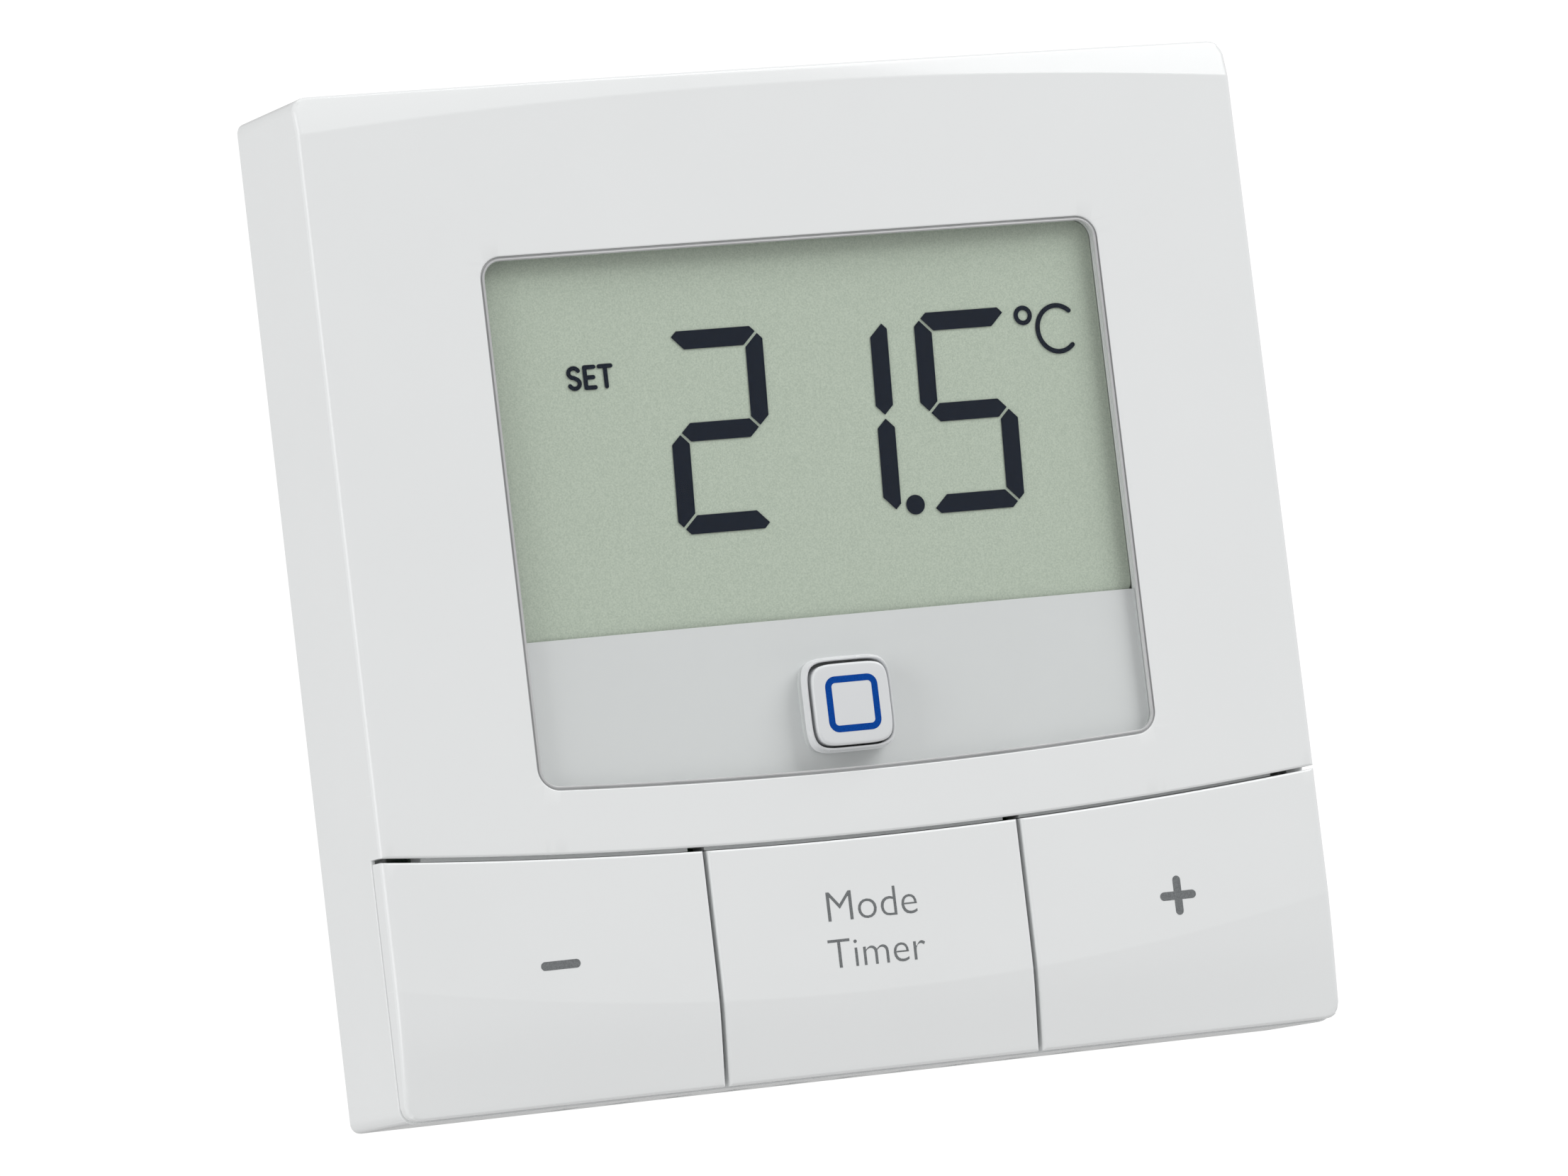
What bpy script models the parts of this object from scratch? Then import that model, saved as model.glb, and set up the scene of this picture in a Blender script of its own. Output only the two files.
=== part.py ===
"""Battery wall thermostat with a display window and three keys.

A clip-on unit hangs on a flat mounting plate. The unit is a drafted square shell, closed behind by a
battery tray, with a slightly crowned front. X runs to the right, Z up, and the wall is the plane Y = 0.
Sizes are in millimetres, and "depth" is the distance from the wall towards the front, so a point of
depth d lies at Y = -d.
"""

import math

import bmesh
import bpy
from mathutils import Matrix, Vector

MM = 0.001

# Outer shell
HALF_BACK = 40.0
HALF_FRONT_X = 39.75
HALF_FRONT_TOP = 39.8
HALF_FRONT_BOTTOM = 39.92
COVER_BACK = 3.0
RIM_DEPTH = 17.0
CROWN = 0.45
CORNER_R = 1.2
FRONT_EDGE_R = 0.5
WALL = 1.7

# Arched lines of the front: height on the centre line, and how it changes with x squared
TOP_CREASE = (38.45, -0.00105)
KEY_GAP = (-21.43, 0.00117)
LOW_CREASE = (-33.6, 0.0025)
WINDOW_FOOT = (-16.15, 0.00115)
TOP_BAND_SLOPE = 0.2
TOP_BAND_CURVE = 0.02
LOW_CREASE_SLOPE = 0.05
LOW_BEND_SLOPE = 0.125
LOW_BEND_Z = -33.8
LOW_BEND_WIDTH = 2.0
LOW_BEND_FADE = 0.6

# Window
WINDOW_HALF = 26.15
WINDOW_TOP = 26.08
WINDOW_R = 1.6
WINDOW_GAP = 0.15
LEDGE = 0.45
LENS_THICK = 1.0
LENS_FRONT = 16.95
LENS_BACK = LENS_FRONT - LENS_THICK
LEDGE_DEPTH = 15.84
FILM_FRONT = 15.85
FILM_BACK = 15.65
FILM_TOP = -3.9

# Keys
KEY_LINE = 0.34
KEY_EDGE_X = 13.34
KEY_BOTTOM = -39.75
KEY_BACK = 15.0
DECK_FRONT = 14.62
DECK_BACK = 13.9
KEY_HINGE = (15.0, -38.9)
KEY_SWITCH_Z = -27.0
KEY_CENTRES = {"minus": -26.5, "menu": 0.0, "plus": 26.5}
PUSHER_R = 1.2
SWITCH_HOLE = 5.6
TAB_OFFSET = 8.0
TAB_SIZE = (2.4, 0.8)
TAB_HOLE = (3.4, 2.0)
TAB_Z = -37.3
TAB_END = 13.0
NOTCHES = ((-38.2, 2.4), (-13.8, 1.5), (13.0, 1.5), (37.2, 2.2))
NOTCH_TOP = 16.3

# System button
BUTTON_Z = -11.0
BUTTON_HALF = 3.22
BUTTON_POWER = 5.5
BUTTON_BACK = 15.2
BUTTON_FRONT = 18.45
FLANGE_SIZE = 8.4
COLLAR_FRONT = 18.05
COLLAR_WALL = 0.42
COLLAR_GAP = 0.2

# Board and display
BOARD_BACK = 12.45
BOARD_FRONT = 13.25
BOARD_HALF = 36.0
LCD_BACK = 13.8
LCD_MIDDLE = 14.5
LCD_SHOULDER = 15.2
LCD_FRONT = 15.75
LCD_HALF = 27.3
LCD_FOOT = -6.2
LCD_HEAD = 27.0
LCD_STEP = -4.6
LCD_VIEW_HALF = 25.1
LCD_VIEW_FOOT = FILM_TOP + 0.2
SWITCH_SIZE = 4.5
SWITCH_TOP = 13.92
PLUNGER_TOP = 14.35
PUSHER_END = 14.42
SCREW_PLACES = [(-31.5, 31.0), (31.5, 31.0), (-31.5, -12.0), (31.5, -12.0)]
POST_PLACES = [(-31.5, 20.0), (31.5, 20.0), (-31.5, -30.0), (31.5, -30.0)]
CHIP_FOOT = BOARD_BACK - 0.05

# Battery tray and cells
REAR_BACK = 3.2
REAR_FRONT = 4.4
REAR_HALF = 37.4
TRAY_X = 25.0
TRAY_Z = 11.3
TRAY_WALL = 1.0
TRAY_FLOOR = 11.8
TRAY_FRONT = 12.3
CELL_R = 5.25
CELL_DEPTH = 6.45
CELL_Z = 5.55
CELL_LENGTH = 43.5
NUB_LENGTH = 1.0

# Mounting plate
PLATE_HALF = 35.0
PLATE_THICK = 1.0
PLATE_RIM = 2.6
DISH_INSET = 2.0
SCREW_WAYS = ((-30.0, 0.0, 3.8, 9.0), (30.0, 0.0, 3.8, 9.0), (0.0, 30.0, 9.0, 3.8), (0.0, -30.0, 9.0, 3.8))
HOOK_X = 20.0
HOOK_Z = 29.5

SMOOTH_ANGLE = math.radians(40)

parts = None
tools = None


def clear_scene():
    for obj in list(bpy.data.objects):
        bpy.data.objects.remove(obj, do_unlink=True)


def new_collection(name):
    found = bpy.data.collections.new(name)
    bpy.context.scene.collection.children.link(found)
    return found


def arch(line, x):
    """Height at x of one of the front's arched lines."""
    return line[0] + line[1] * x * x


def at(x, depth, z):
    return Vector((x, -depth, z)) * MM


def plastic(name, colour, roughness=0.4, metallic=0.0, alpha=1.0):
    made = bpy.data.materials.new(name)
    made.use_nodes = True
    shader = made.node_tree.nodes["Principled BSDF"]
    shader.inputs["Base Color"].default_value = (*colour, 1.0)
    shader.inputs["Roughness"].default_value = roughness
    shader.inputs["Metallic"].default_value = metallic
    shader.inputs["Alpha"].default_value = alpha
    made.diffuse_color = (*colour, alpha)
    return made


def to_object(name, bm, centre=(0.0, 0.0, 0.0)):
    """An object from a bmesh, hidden among the tools until keep() makes it a part."""
    bmesh.ops.recalc_face_normals(bm, faces=bm.faces)
    mesh = bpy.data.meshes.new(name)
    bm.to_mesh(mesh)
    bm.free()
    obj = bpy.data.objects.new(name, mesh)
    obj.location = centre
    obj.hide_render = True
    obj.display_type = "WIRE"
    tools.objects.link(obj)
    return obj


def keep(obj, material, smooth=False):
    """Turns a helper into a visible part with its own material. Round shapes are shaded smooth."""
    tools.objects.unlink(obj)
    parts.objects.link(obj)
    obj.hide_render = False
    obj.display_type = "TEXTURED"
    obj.data.materials.clear()
    obj.data.materials.append(material)
    if smooth:
        obj.data.shade_smooth()
        obj.data.set_sharp_from_angle(angle=SMOOTH_ANGLE)
    return obj


def boolean(target, other, operation):
    step = target.modifiers.new(other.name, "BOOLEAN")
    step.operation = operation
    step.solver = "EXACT"
    step.object = other


def cut(target, *others):
    for other in others:
        boolean(target, other, "DIFFERENCE")


def join(target, *others):
    for other in others:
        boolean(target, other, "UNION")


def move_origin(obj, point):
    """Puts an object's origin on its joint's axis without moving its shape."""
    obj.data.transform(Matrix.Translation(obj.location - point))
    obj.location = point


def box(name, xs, depths, zs):
    """Block between two x, two depths and two z."""
    bm = bmesh.new()
    bmesh.ops.create_cube(bm, size=MM)
    size = (xs[1] - xs[0], depths[1] - depths[0], zs[1] - zs[0])
    bmesh.ops.scale(bm, vec=size, verts=bm.verts)
    return to_object(name, bm, at(sum(xs) / 2, sum(depths) / 2, sum(zs) / 2))


def block(name, x, z, size, depths):
    """Block of a width and height about (x, z)."""
    return box(name, (x - size[0] / 2, x + size[0] / 2), depths, (z - size[1] / 2, z + size[1] / 2))


def rod(name, x, z, radius, depths, sides=24):
    """Cylinder standing out from the wall at (x, z)."""
    bm = bmesh.new()
    length = (depths[1] - depths[0]) * MM
    bmesh.ops.create_cone(
        bm, cap_ends=True, segments=sides, radius1=radius * MM, radius2=radius * MM, depth=length
    )
    bmesh.ops.rotate(bm, verts=bm.verts, matrix=Matrix.Rotation(math.pi / 2, 3, "X"))
    return to_object(name, bm, at(x, sum(depths) / 2, z))


def bar(name, xs, depth, z, radius, sides=24):
    """Cylinder along X."""
    bm = bmesh.new()
    length = (xs[1] - xs[0]) * MM
    bmesh.ops.create_cone(
        bm, cap_ends=True, segments=sides, radius1=radius * MM, radius2=radius * MM, depth=length
    )
    bmesh.ops.rotate(bm, verts=bm.verts, matrix=Matrix.Rotation(math.pi / 2, 3, "Y"))
    return to_object(name, bm, at(sum(xs) / 2, depth, z))


def curve_to_mesh(curve_object):
    """The closed mesh of a curve object, which is then removed."""
    bpy.context.scene.collection.objects.link(curve_object)
    bpy.context.view_layer.update()
    graph = bpy.context.evaluated_depsgraph_get()
    mesh = bpy.data.meshes.new_from_object(curve_object.evaluated_get(graph))
    bm = bmesh.new()
    bm.from_mesh(mesh)
    bm.transform(curve_object.matrix_world)
    bmesh.ops.remove_doubles(bm, verts=bm.verts, dist=0.002 * MM)
    bpy.data.objects.remove(curve_object)
    return bm


def prism(name, outline, depths):
    """Flat outline in X and Z, made thick between two depths."""
    data = bpy.data.curves.new(name, "CURVE")
    data.dimensions = "2D"
    data.fill_mode = "BOTH"
    data.extrude = (depths[1] - depths[0]) / 2 * MM
    spline = data.splines.new("POLY")
    spline.points.add(len(outline) - 1)
    spline.use_cyclic_u = True
    for point, (x, z) in zip(spline.points, outline):
        point.co = (x * MM, z * MM, 0.0, 1.0)
    flat = bpy.data.objects.new(name, data)
    flat.rotation_euler = (math.pi / 2, 0.0, 0.0)
    flat.location = at(0.0, sum(depths) / 2, 0.0)
    return to_object(name, curve_to_mesh(flat))


def wire(name, path, radius):
    """Round wire through the given (x, depth, z) points."""
    data = bpy.data.curves.new(name, "CURVE")
    data.dimensions = "3D"
    data.bevel_depth = radius * MM
    data.bevel_resolution = 2
    data.use_fill_caps = True
    spline = data.splines.new("POLY")
    spline.points.add(len(path) - 1)
    for point, place in zip(spline.points, path):
        point.co = (*at(*place), 1.0)
    return to_object(name, curve_to_mesh(bpy.data.objects.new(name, data)))


def arc(cx, cz, radius, first, last, count):
    """Points of a round stretch, with angles in degrees."""
    step = math.radians(last - first) / count
    angles = [math.radians(first) + i * step for i in range(count + 1)]
    return [(cx + radius * math.cos(a), cz + radius * math.sin(a)) for a in angles]


def rounded(x, z, width, height, radius, count=4):
    """Outline of a rounded rectangle about (x, z)."""
    dx = width / 2 - radius
    dz = height / 2 - radius
    outline = []
    for i, (sx, sz) in enumerate(((1, 1), (-1, 1), (-1, -1), (1, -1))):
        outline += arc(x + sx * dx, z + sz * dz, radius, 90 * i, 90 * i + 90, count)
    return outline


def cushion(z, half, power, count=40):
    """Outline of a square with bulged sides and round corners: a superellipse about (0, z)."""
    outline = []
    for i in range(count):
        a = 2 * math.pi * (i + 0.5) / count
        c, s = math.cos(a), math.sin(a)
        reach = (abs(c) ** power + abs(s) ** power) ** (-1 / power)
        outline.append((half * reach * c, z + half * reach * s))
    return outline


def window_outline(grow):
    """Outline of the window, larger by grow all round."""
    half = WINDOW_HALF + grow
    top = WINDOW_TOP + grow
    foot = arch(WINDOW_FOOT, half) - grow
    inner = half - WINDOW_R
    outline = arc(inner, top - WINDOW_R, WINDOW_R, 0, 90, 4)
    outline += arc(-inner, top - WINDOW_R, WINDOW_R, 90, 180, 4)
    outline += arc(-inner, foot + WINDOW_R, WINDOW_R, 180, 264, 4)
    outline += [(inner * i / 5, arch(WINDOW_FOOT, inner * i / 5) - grow) for i in range(-4, 5)]
    outline += arc(inner, foot + WINDOW_R, WINDOW_R, 276, 360, 4)
    return outline


def crown(x):
    return CROWN * (1 - (x / HALF_BACK) ** 2)


def front_offset(x, z):
    """How far the front stands beyond its rim: crowned, and falling away above and near the bottom."""
    rise = max(0.0, z - arch(TOP_CREASE, x))
    top = TOP_BAND_SLOPE * rise + TOP_BAND_CURVE * rise**2
    run = LOW_BEND_Z - z
    bend = LOW_BEND_SLOPE * (run + math.hypot(run, LOW_BEND_WIDTH)) / 2
    bend *= 1 - LOW_BEND_FADE * (x / HALF_BACK) ** 2
    low = LOW_CREASE_SLOPE * max(0.0, arch(LOW_CREASE, x) - z)
    return crown(x) - top - bend - low


def steps(first, last, count):
    return [first + (last - first) * i / count for i in range(count + 1)]


def slice_mesh(bm, xs=(), zs=()):
    """Adds edge loops on planes of constant x and z."""
    for value, normal in [(x, (1, 0, 0)) for x in xs] + [(z, (0, 0, 1)) for z in zs]:
        everything = bm.verts[:] + bm.edges[:] + bm.faces[:]
        point = Vector(normal) * value * MM
        bmesh.ops.bisect_plane(bm, geom=everything, plane_co=point, plane_no=normal)


def shell_block(name, back, rows):
    """The drafted outer form from a depth to the crowned front, with round corners and a round front edge."""
    share = (back - COVER_BACK) / (RIM_DEPTH - COVER_BACK)
    side = HALF_BACK + (HALF_FRONT_X - HALF_BACK) * share
    top = HALF_BACK + (HALF_FRONT_TOP - HALF_BACK) * share
    foot = HALF_BACK + (HALF_FRONT_BOTTOM - HALF_BACK) * share
    bm = bmesh.new()
    bmesh.ops.create_cube(bm, size=2.0)
    for vert in bm.verts:
        at_front = vert.co.y < 0
        half_x = HALF_FRONT_X if at_front else side
        half_top = HALF_FRONT_TOP if at_front else top
        half_foot = HALF_FRONT_BOTTOM if at_front else foot
        depth = RIM_DEPTH if at_front else back
        z = half_top if vert.co.z > 0 else -half_foot
        vert.co = at(math.copysign(half_x, vert.co.x), depth, z)
    long_edges = [e for e in bm.edges if abs(e.verts[0].co.y - e.verts[1].co.y) > MM]
    bmesh.ops.bevel(bm, geom=long_edges, offset=CORNER_R * MM, segments=3, profile=0.5, affect="EDGES")
    rim = [e for e in bm.edges if all(v.co.y < -(RIM_DEPTH - 0.01) * MM for v in e.verts)]
    bmesh.ops.bevel(bm, geom=rim, offset=FRONT_EDGE_R * MM, segments=3, profile=0.5, affect="EDGES")
    slice_mesh(bm, xs=steps(-35.0, 35.0, 14), zs=rows)
    for vert in bm.verts:
        if vert.co.y < -(RIM_DEPTH - FRONT_EDGE_R - 0.05) * MM:
            vert.co.y -= front_offset(vert.co.x / MM, vert.co.z / MM) * MM
    bmesh.ops.triangulate(bm, faces=bm.faces)
    return to_object(name, bm)


def crowned_slab(name, xs, zs, depths):
    """Slab whose back and front both follow the front's crown."""
    bm = bmesh.new()
    bmesh.ops.create_cube(bm, size=MM)
    bmesh.ops.scale(bm, vec=(xs[1] - xs[0], depths[1] - depths[0], zs[1] - zs[0]), verts=bm.verts)
    bmesh.ops.translate(bm, vec=at(sum(xs) / 2, sum(depths) / 2, sum(zs) / 2), verts=bm.verts)
    slice_mesh(bm, xs=[x for x in steps(-35.0, 35.0, 14) if xs[0] < x < xs[1]])
    for vert in bm.verts:
        vert.co.y -= crown(vert.co.x / MM) * MM
    return to_object(name, bm)


def front_cover():
    cover = shell_block("front_cover", COVER_BACK, rows=[35.5, 36.4, 37.0, 37.6, 38.1, 38.5])
    inner = HALF_BACK - WALL
    lining = RIM_DEPTH - WALL
    cut(cover, box("cavity_back", (-inner, inner), (0.0, DECK_BACK), (-inner, inner)))
    roof = (inner - 0.3, inner - 0.4)
    cut(cover, crowned_slab("cavity_front", (-roof[0], roof[0]), (-18.4, roof[1]), (10.0, lining)))
    bay = [(46.0, -46.0), (-46.0, -46.0)]
    bay += [(x, arch(KEY_GAP, x) + KEY_LINE / 2) for x in steps(-46.0, 46.0, 24)]
    cut(cover, prism("key_bay", bay[1:] + bay[:1], (DECK_FRONT, 20.0)))
    cut(cover, prism("window_hole", window_outline(-LEDGE), (10.0, 20.0)))
    rebate = crowned_slab("window_rebate", (-28.0, 28.0), (-20.0, 28.0), (LEDGE_DEPTH, 20.0))
    boolean(rebate, prism("rebate_edge", window_outline(WINDOW_GAP), (10.0, 25.0)), "INTERSECT")
    cut(cover, rebate)
    for x, width in NOTCHES:
        gap = arch(KEY_GAP, x)
        notch_x = (x - width / 2, x + width / 2)
        cut(cover, box(f"notch_{x}", notch_x, (DECK_BACK - 0.5, NOTCH_TOP), (gap - 0.6, gap + 1.1)))
    for place, x in KEY_CENTRES.items():
        cut(cover, block(f"switch_hole_{place}", x, KEY_SWITCH_Z, (SWITCH_HOLE, SWITCH_HOLE), (13.0, 15.0)))
        for side in (-TAB_OFFSET, TAB_OFFSET):
            cut(cover, block(f"tab_hole_{place}_{side}", x + side, TAB_Z + 0.1, TAB_HOLE, (13.0, 15.0)))
    for x in steps(-24.0, 24.0, 10):
        for z in (-39.0, 39.0):
            cut(cover, block(f"vent_{x}_{z}", x, z, (1.8, 4.0), (5.5, 10.0)))
    for i, (x, z) in enumerate(SCREW_PLACES):
        join(cover, rod(f"boss_{i}", x, z, 2.4, (BOARD_FRONT + 0.15, lining + 0.8), sides=16))
        cut(cover, rod(f"boss_bore_{i}", x, z, 1.1, (10.0, lining + 0.3), sides=12))
    return keep(cover, plastic("white_housing", (0.84, 0.85, 0.85), 0.35))


def window_lens():
    lens = crowned_slab("window_lens", (-28.0, 28.0), (-20.0, 28.0), (LENS_BACK, LENS_FRONT))
    boolean(lens, prism("lens_edge", window_outline(0.0), (10.0, 25.0)), "INTERSECT")
    inner = BUTTON_HALF + COLLAR_GAP
    outer = cushion(BUTTON_Z, inner + COLLAR_WALL, BUTTON_POWER)
    join(lens, prism("lens_lip", outer, (RIM_DEPTH, COLLAR_FRONT)))
    cut(lens, prism("lens_hole", cushion(BUTTON_Z, inner, BUTTON_POWER), (10.0, 25.0)))
    return keep(lens, plastic("clear_window", (0.9, 0.92, 0.92), 0.08, alpha=0.25))


def display_mask():
    mask = crowned_slab("display_mask", (-28.0, 28.0), (-20.0, FILM_TOP), (FILM_BACK, FILM_FRONT))
    boolean(mask, prism("mask_edge", window_outline(-LEDGE - 0.2), (10.0, 25.0)), "INTERSECT")
    cut(mask, prism("mask_hole", cushion(BUTTON_Z, BUTTON_HALF + 0.3, BUTTON_POWER), (10.0, 25.0)))
    return keep(mask, plastic("grey_film", (0.6, 0.61, 0.62), 0.4))


def system_button():
    button = prism("system_button", cushion(BUTTON_Z, BUTTON_HALF, BUTTON_POWER), (BUTTON_BACK, BUTTON_FRONT))
    join(button, block("button_flange", 0.0, BUTTON_Z, (FLANGE_SIZE, FLANGE_SIZE), (14.95, 15.55)))
    join(button, rod("button_pusher", 0.0, BUTTON_Z, PUSHER_R, (PUSHER_END, BUTTON_BACK + 0.1)))
    keep(button, plastic("button_white", (0.82, 0.83, 0.84), 0.3), smooth=True)
    move_origin(button, at(0.0, BUTTON_FRONT, BUTTON_Z))
    return button


def key_cap(place, left, right):
    """One key: a slab of the outer form under the arched gap line, with a pusher and two hinge tabs."""
    x = KEY_CENTRES[place]
    rows = steps(-39.4, -30.4, 9)
    cap = shell_block(f"key_{place}", KEY_BACK, rows)
    limit = [(left, KEY_BOTTOM), (right, KEY_BOTTOM)]
    limit += [(p, arch(KEY_GAP, p) - KEY_LINE / 2) for p in steps(right, left, 12)]
    boolean(cap, prism(f"key_limit_{place}", limit, (10.0, 25.0)), "INTERSECT")
    root = KEY_BACK + 0.4
    join(cap, rod(f"key_pusher_{place}", x, KEY_SWITCH_Z, PUSHER_R, (PUSHER_END, root), sides=16))
    nose = (TAB_END, TAB_END + 0.45)
    for side in (-TAB_OFFSET, TAB_OFFSET):
        join(cap, block(f"key_tab_{place}_{side}", x + side, TAB_Z, TAB_SIZE, (TAB_END, root)))
        join(cap, block(f"key_nose_{place}_{side}", x + side, TAB_Z + 0.3, (2.4, 1.0), nose))
    keep(cap, plastic(f"white_key_{place}", (0.84, 0.85, 0.85), 0.35))
    move_origin(cap, at(x, *KEY_HINGE))
    return cap


def tact_switch(place, x, z):
    """Low switch on the board: its body, and the plunger that the pusher above it presses."""
    body = block(f"switch_{place}", x, z, (SWITCH_SIZE, SWITCH_SIZE), (BOARD_FRONT + 0.02, SWITCH_TOP))
    cut(body, rod(f"switch_bore_{place}", x, z, 1.1, (BOARD_FRONT + 0.25, 15.0), sides=16))
    keep(body, plastic(f"switch_metal_{place}", (0.6, 0.6, 0.6), 0.3, 1.0))
    plunger = rod(f"plunger_{place}", x, z, 0.95, (BOARD_FRONT + 0.55, PLUNGER_TOP), sides=16)
    keep(plunger, plastic(f"plunger_{place}", (0.1, 0.1, 0.1), 0.5), smooth=True)


def display():
    """LCD of stepped glass plates, a reflector behind it, and the ribbon that joins it to the board."""
    wide = (-LCD_HALF, LCD_HALF)
    glass = box("lcd_glass", wide, (LCD_BACK, LCD_MIDDLE + 0.1), (LCD_FOOT, LCD_HEAD))
    join(glass, box("lcd_front_glass", wide, (LCD_MIDDLE, LCD_SHOULDER), (LCD_STEP, LCD_HEAD)))
    view = (-LCD_VIEW_HALF, LCD_VIEW_HALF)
    join(glass, box("lcd_view", view, (LCD_SHOULDER - 0.1, LCD_FRONT), (LCD_VIEW_FOOT, LCD_VIEW_HALF)))
    keep(glass, plastic("lcd", (0.42, 0.49, 0.4), 0.2))
    sheet = box("lcd_reflector", (-26.5, 26.5), (13.4, 13.7), (-3.4, 26.6))
    keep(sheet, plastic("reflector_white", (0.85, 0.85, 0.82), 0.5))
    ribbon = box("lcd_ribbon", (-20.0, -8.0), (14.6, 14.75), (-8.6, -4.75))
    join(ribbon, box("ribbon_drop", (-20.0, -8.0), (13.32, 14.75), (-8.75, -8.6 + 0.1)))
    join(ribbon, box("ribbon_foot", (-20.0, -8.0), (13.32, 13.47), (-12.0, -8.6)))
    keep(ribbon, plastic("ribbon_amber", (0.55, 0.3, 0.07), 0.4))
    socket = box("ribbon_socket", (-21.5, -6.5), (13.27, 14.4), (-15.8, -11.6))
    cut(socket, box("socket_mouth", (-20.2, -7.8), (13.2, 13.7), (-15.0, -11.0)))
    keep(socket, plastic("socket_cream", (0.75, 0.72, 0.62), 0.5))


def board():
    outline = rounded(0.0, 0.0, 2 * BOARD_HALF, 2 * BOARD_HALF, 1.5)
    pcb = prism("main_board", outline, (BOARD_BACK, BOARD_FRONT))
    for i, (x, z) in enumerate(SCREW_PLACES):
        cut(pcb, rod(f"board_hole_{i}", x, z, 1.3, (10.0, 15.0), sides=16))
        screw = rod(f"board_screw_{i + 1}", x, z, 1.8, (11.2, BOARD_BACK - 0.05), sides=20)
        join(screw, rod(f"screw_shank_{i}", x, z, 0.95, (12.0, 15.2), sides=12))
        cut(screw, block(f"screw_slot_{i}", x, z, (2.2, 0.5), (10.5, 11.8)))
        cut(screw, block(f"screw_cross_{i}", x, z, (0.5, 2.2), (10.5, 11.8)))
        keep(screw, plastic(f"screw_steel_{i + 1}", (0.62, 0.62, 0.63), 0.3, 1.0), smooth=True)
    keep(pcb, plastic("board_green", (0.03, 0.22, 0.09), 0.45))
    chips = {
        "microcontroller": (-20.0, 23.0, (9.0, 9.0), 1.4, (0.04, 0.04, 0.045)),
        "radio_module": (17.0, 23.0, (16.0, 12.0), 2.2, (0.6, 0.6, 0.61)),
        "climate_sensor": (0.0, -33.0, (3.0, 3.0), 1.0, (0.1, 0.1, 0.1)),
    }
    for name, (x, z, size, height, colour) in chips.items():
        chip = block(name, x, z, size, (CHIP_FOOT - height, CHIP_FOOT))
        metal = 1.0 if name == "radio_module" else 0.0
        keep(chip, plastic(name, colour, 0.35, metal))
    sensor_port = rod("sensor_port", 0.0, -33.0, 0.5, (11.0, 11.8), sides=12)
    cut(bpy.data.objects["climate_sensor"], sensor_port)
    crystal = bar("crystal", (-11.0, -5.0), 11.3, 23.0, 1.0, sides=16)
    keep(crystal, plastic("crystal_can", (0.7, 0.7, 0.7), 0.25, 1.0), smooth=True)
    led = block("status_led", 5.6, BUTTON_Z, (1.6, 0.8), (BOARD_FRONT + 0.05, 13.85))
    keep(led, plastic("led_lens", (0.9, 0.9, 0.85), 0.2))
    capacitor = rod("buffer_capacitor", -22.0, -23.0, 3.15, (6.8, CHIP_FOOT), sides=24)
    keep(capacitor, plastic("capacitor_can", (0.65, 0.65, 0.66), 0.3, 1.0), smooth=True)
    corner = [(x, 11.6, z) for x, z in reversed(arc(33.2, 32.9, 1.5, 0, 90, 5))]
    path = [(-26.0, BOARD_BACK - 0.1, 34.4), (-26.0, 11.6, 34.4), (-25.4, 11.6, 34.4)]
    path += corner + [(34.7, 11.6, 24.0)]
    keep(wire("antenna", path, 0.35), plastic("antenna_wire", (0.72, 0.6, 0.35), 0.3, 1.0), smooth=True)


def rear_housing():
    """Back plate of the unit with the battery tray sunk into it and posts that press on the board."""
    outline = rounded(0.0, 0.0, 2 * REAR_HALF, 2 * REAR_HALF, 1.5)
    rear = prism("rear_housing", outline, (REAR_BACK, REAR_FRONT))
    outer_x = TRAY_X + TRAY_WALL
    outer_z = TRAY_Z + TRAY_WALL
    join(rear, box("tray_outer", (-outer_x, outer_x), (REAR_BACK + 0.4, TRAY_FRONT), (-outer_z, outer_z)))
    for i, (x, z) in enumerate(POST_PLACES):
        join(rear, rod(f"post_{i}", x, z, 2.0, (REAR_FRONT - 0.5, TRAY_FRONT), sides=16))
    cut(rear, box("tray_inner", (-TRAY_X, TRAY_X), (0.0, TRAY_FLOOR), (-TRAY_Z, TRAY_Z)))
    for x in (-HOOK_X, HOOK_X):
        for sign in (-1, 1):
            cut(rear, block(f"hook_slot_{x}_{sign}", x, sign * (HOOK_Z + 0.3), (9.2, 2.5), (2.0, 6.0)))
    for x in steps(-28.0, 28.0, 7):
        cut(rear, block(f"rear_vent_{x}", x, -21.0, (2.0, 7.0), (2.0, 6.0)))
    return keep(rear, plastic("rear_white", (0.78, 0.79, 0.79), 0.5))


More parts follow.
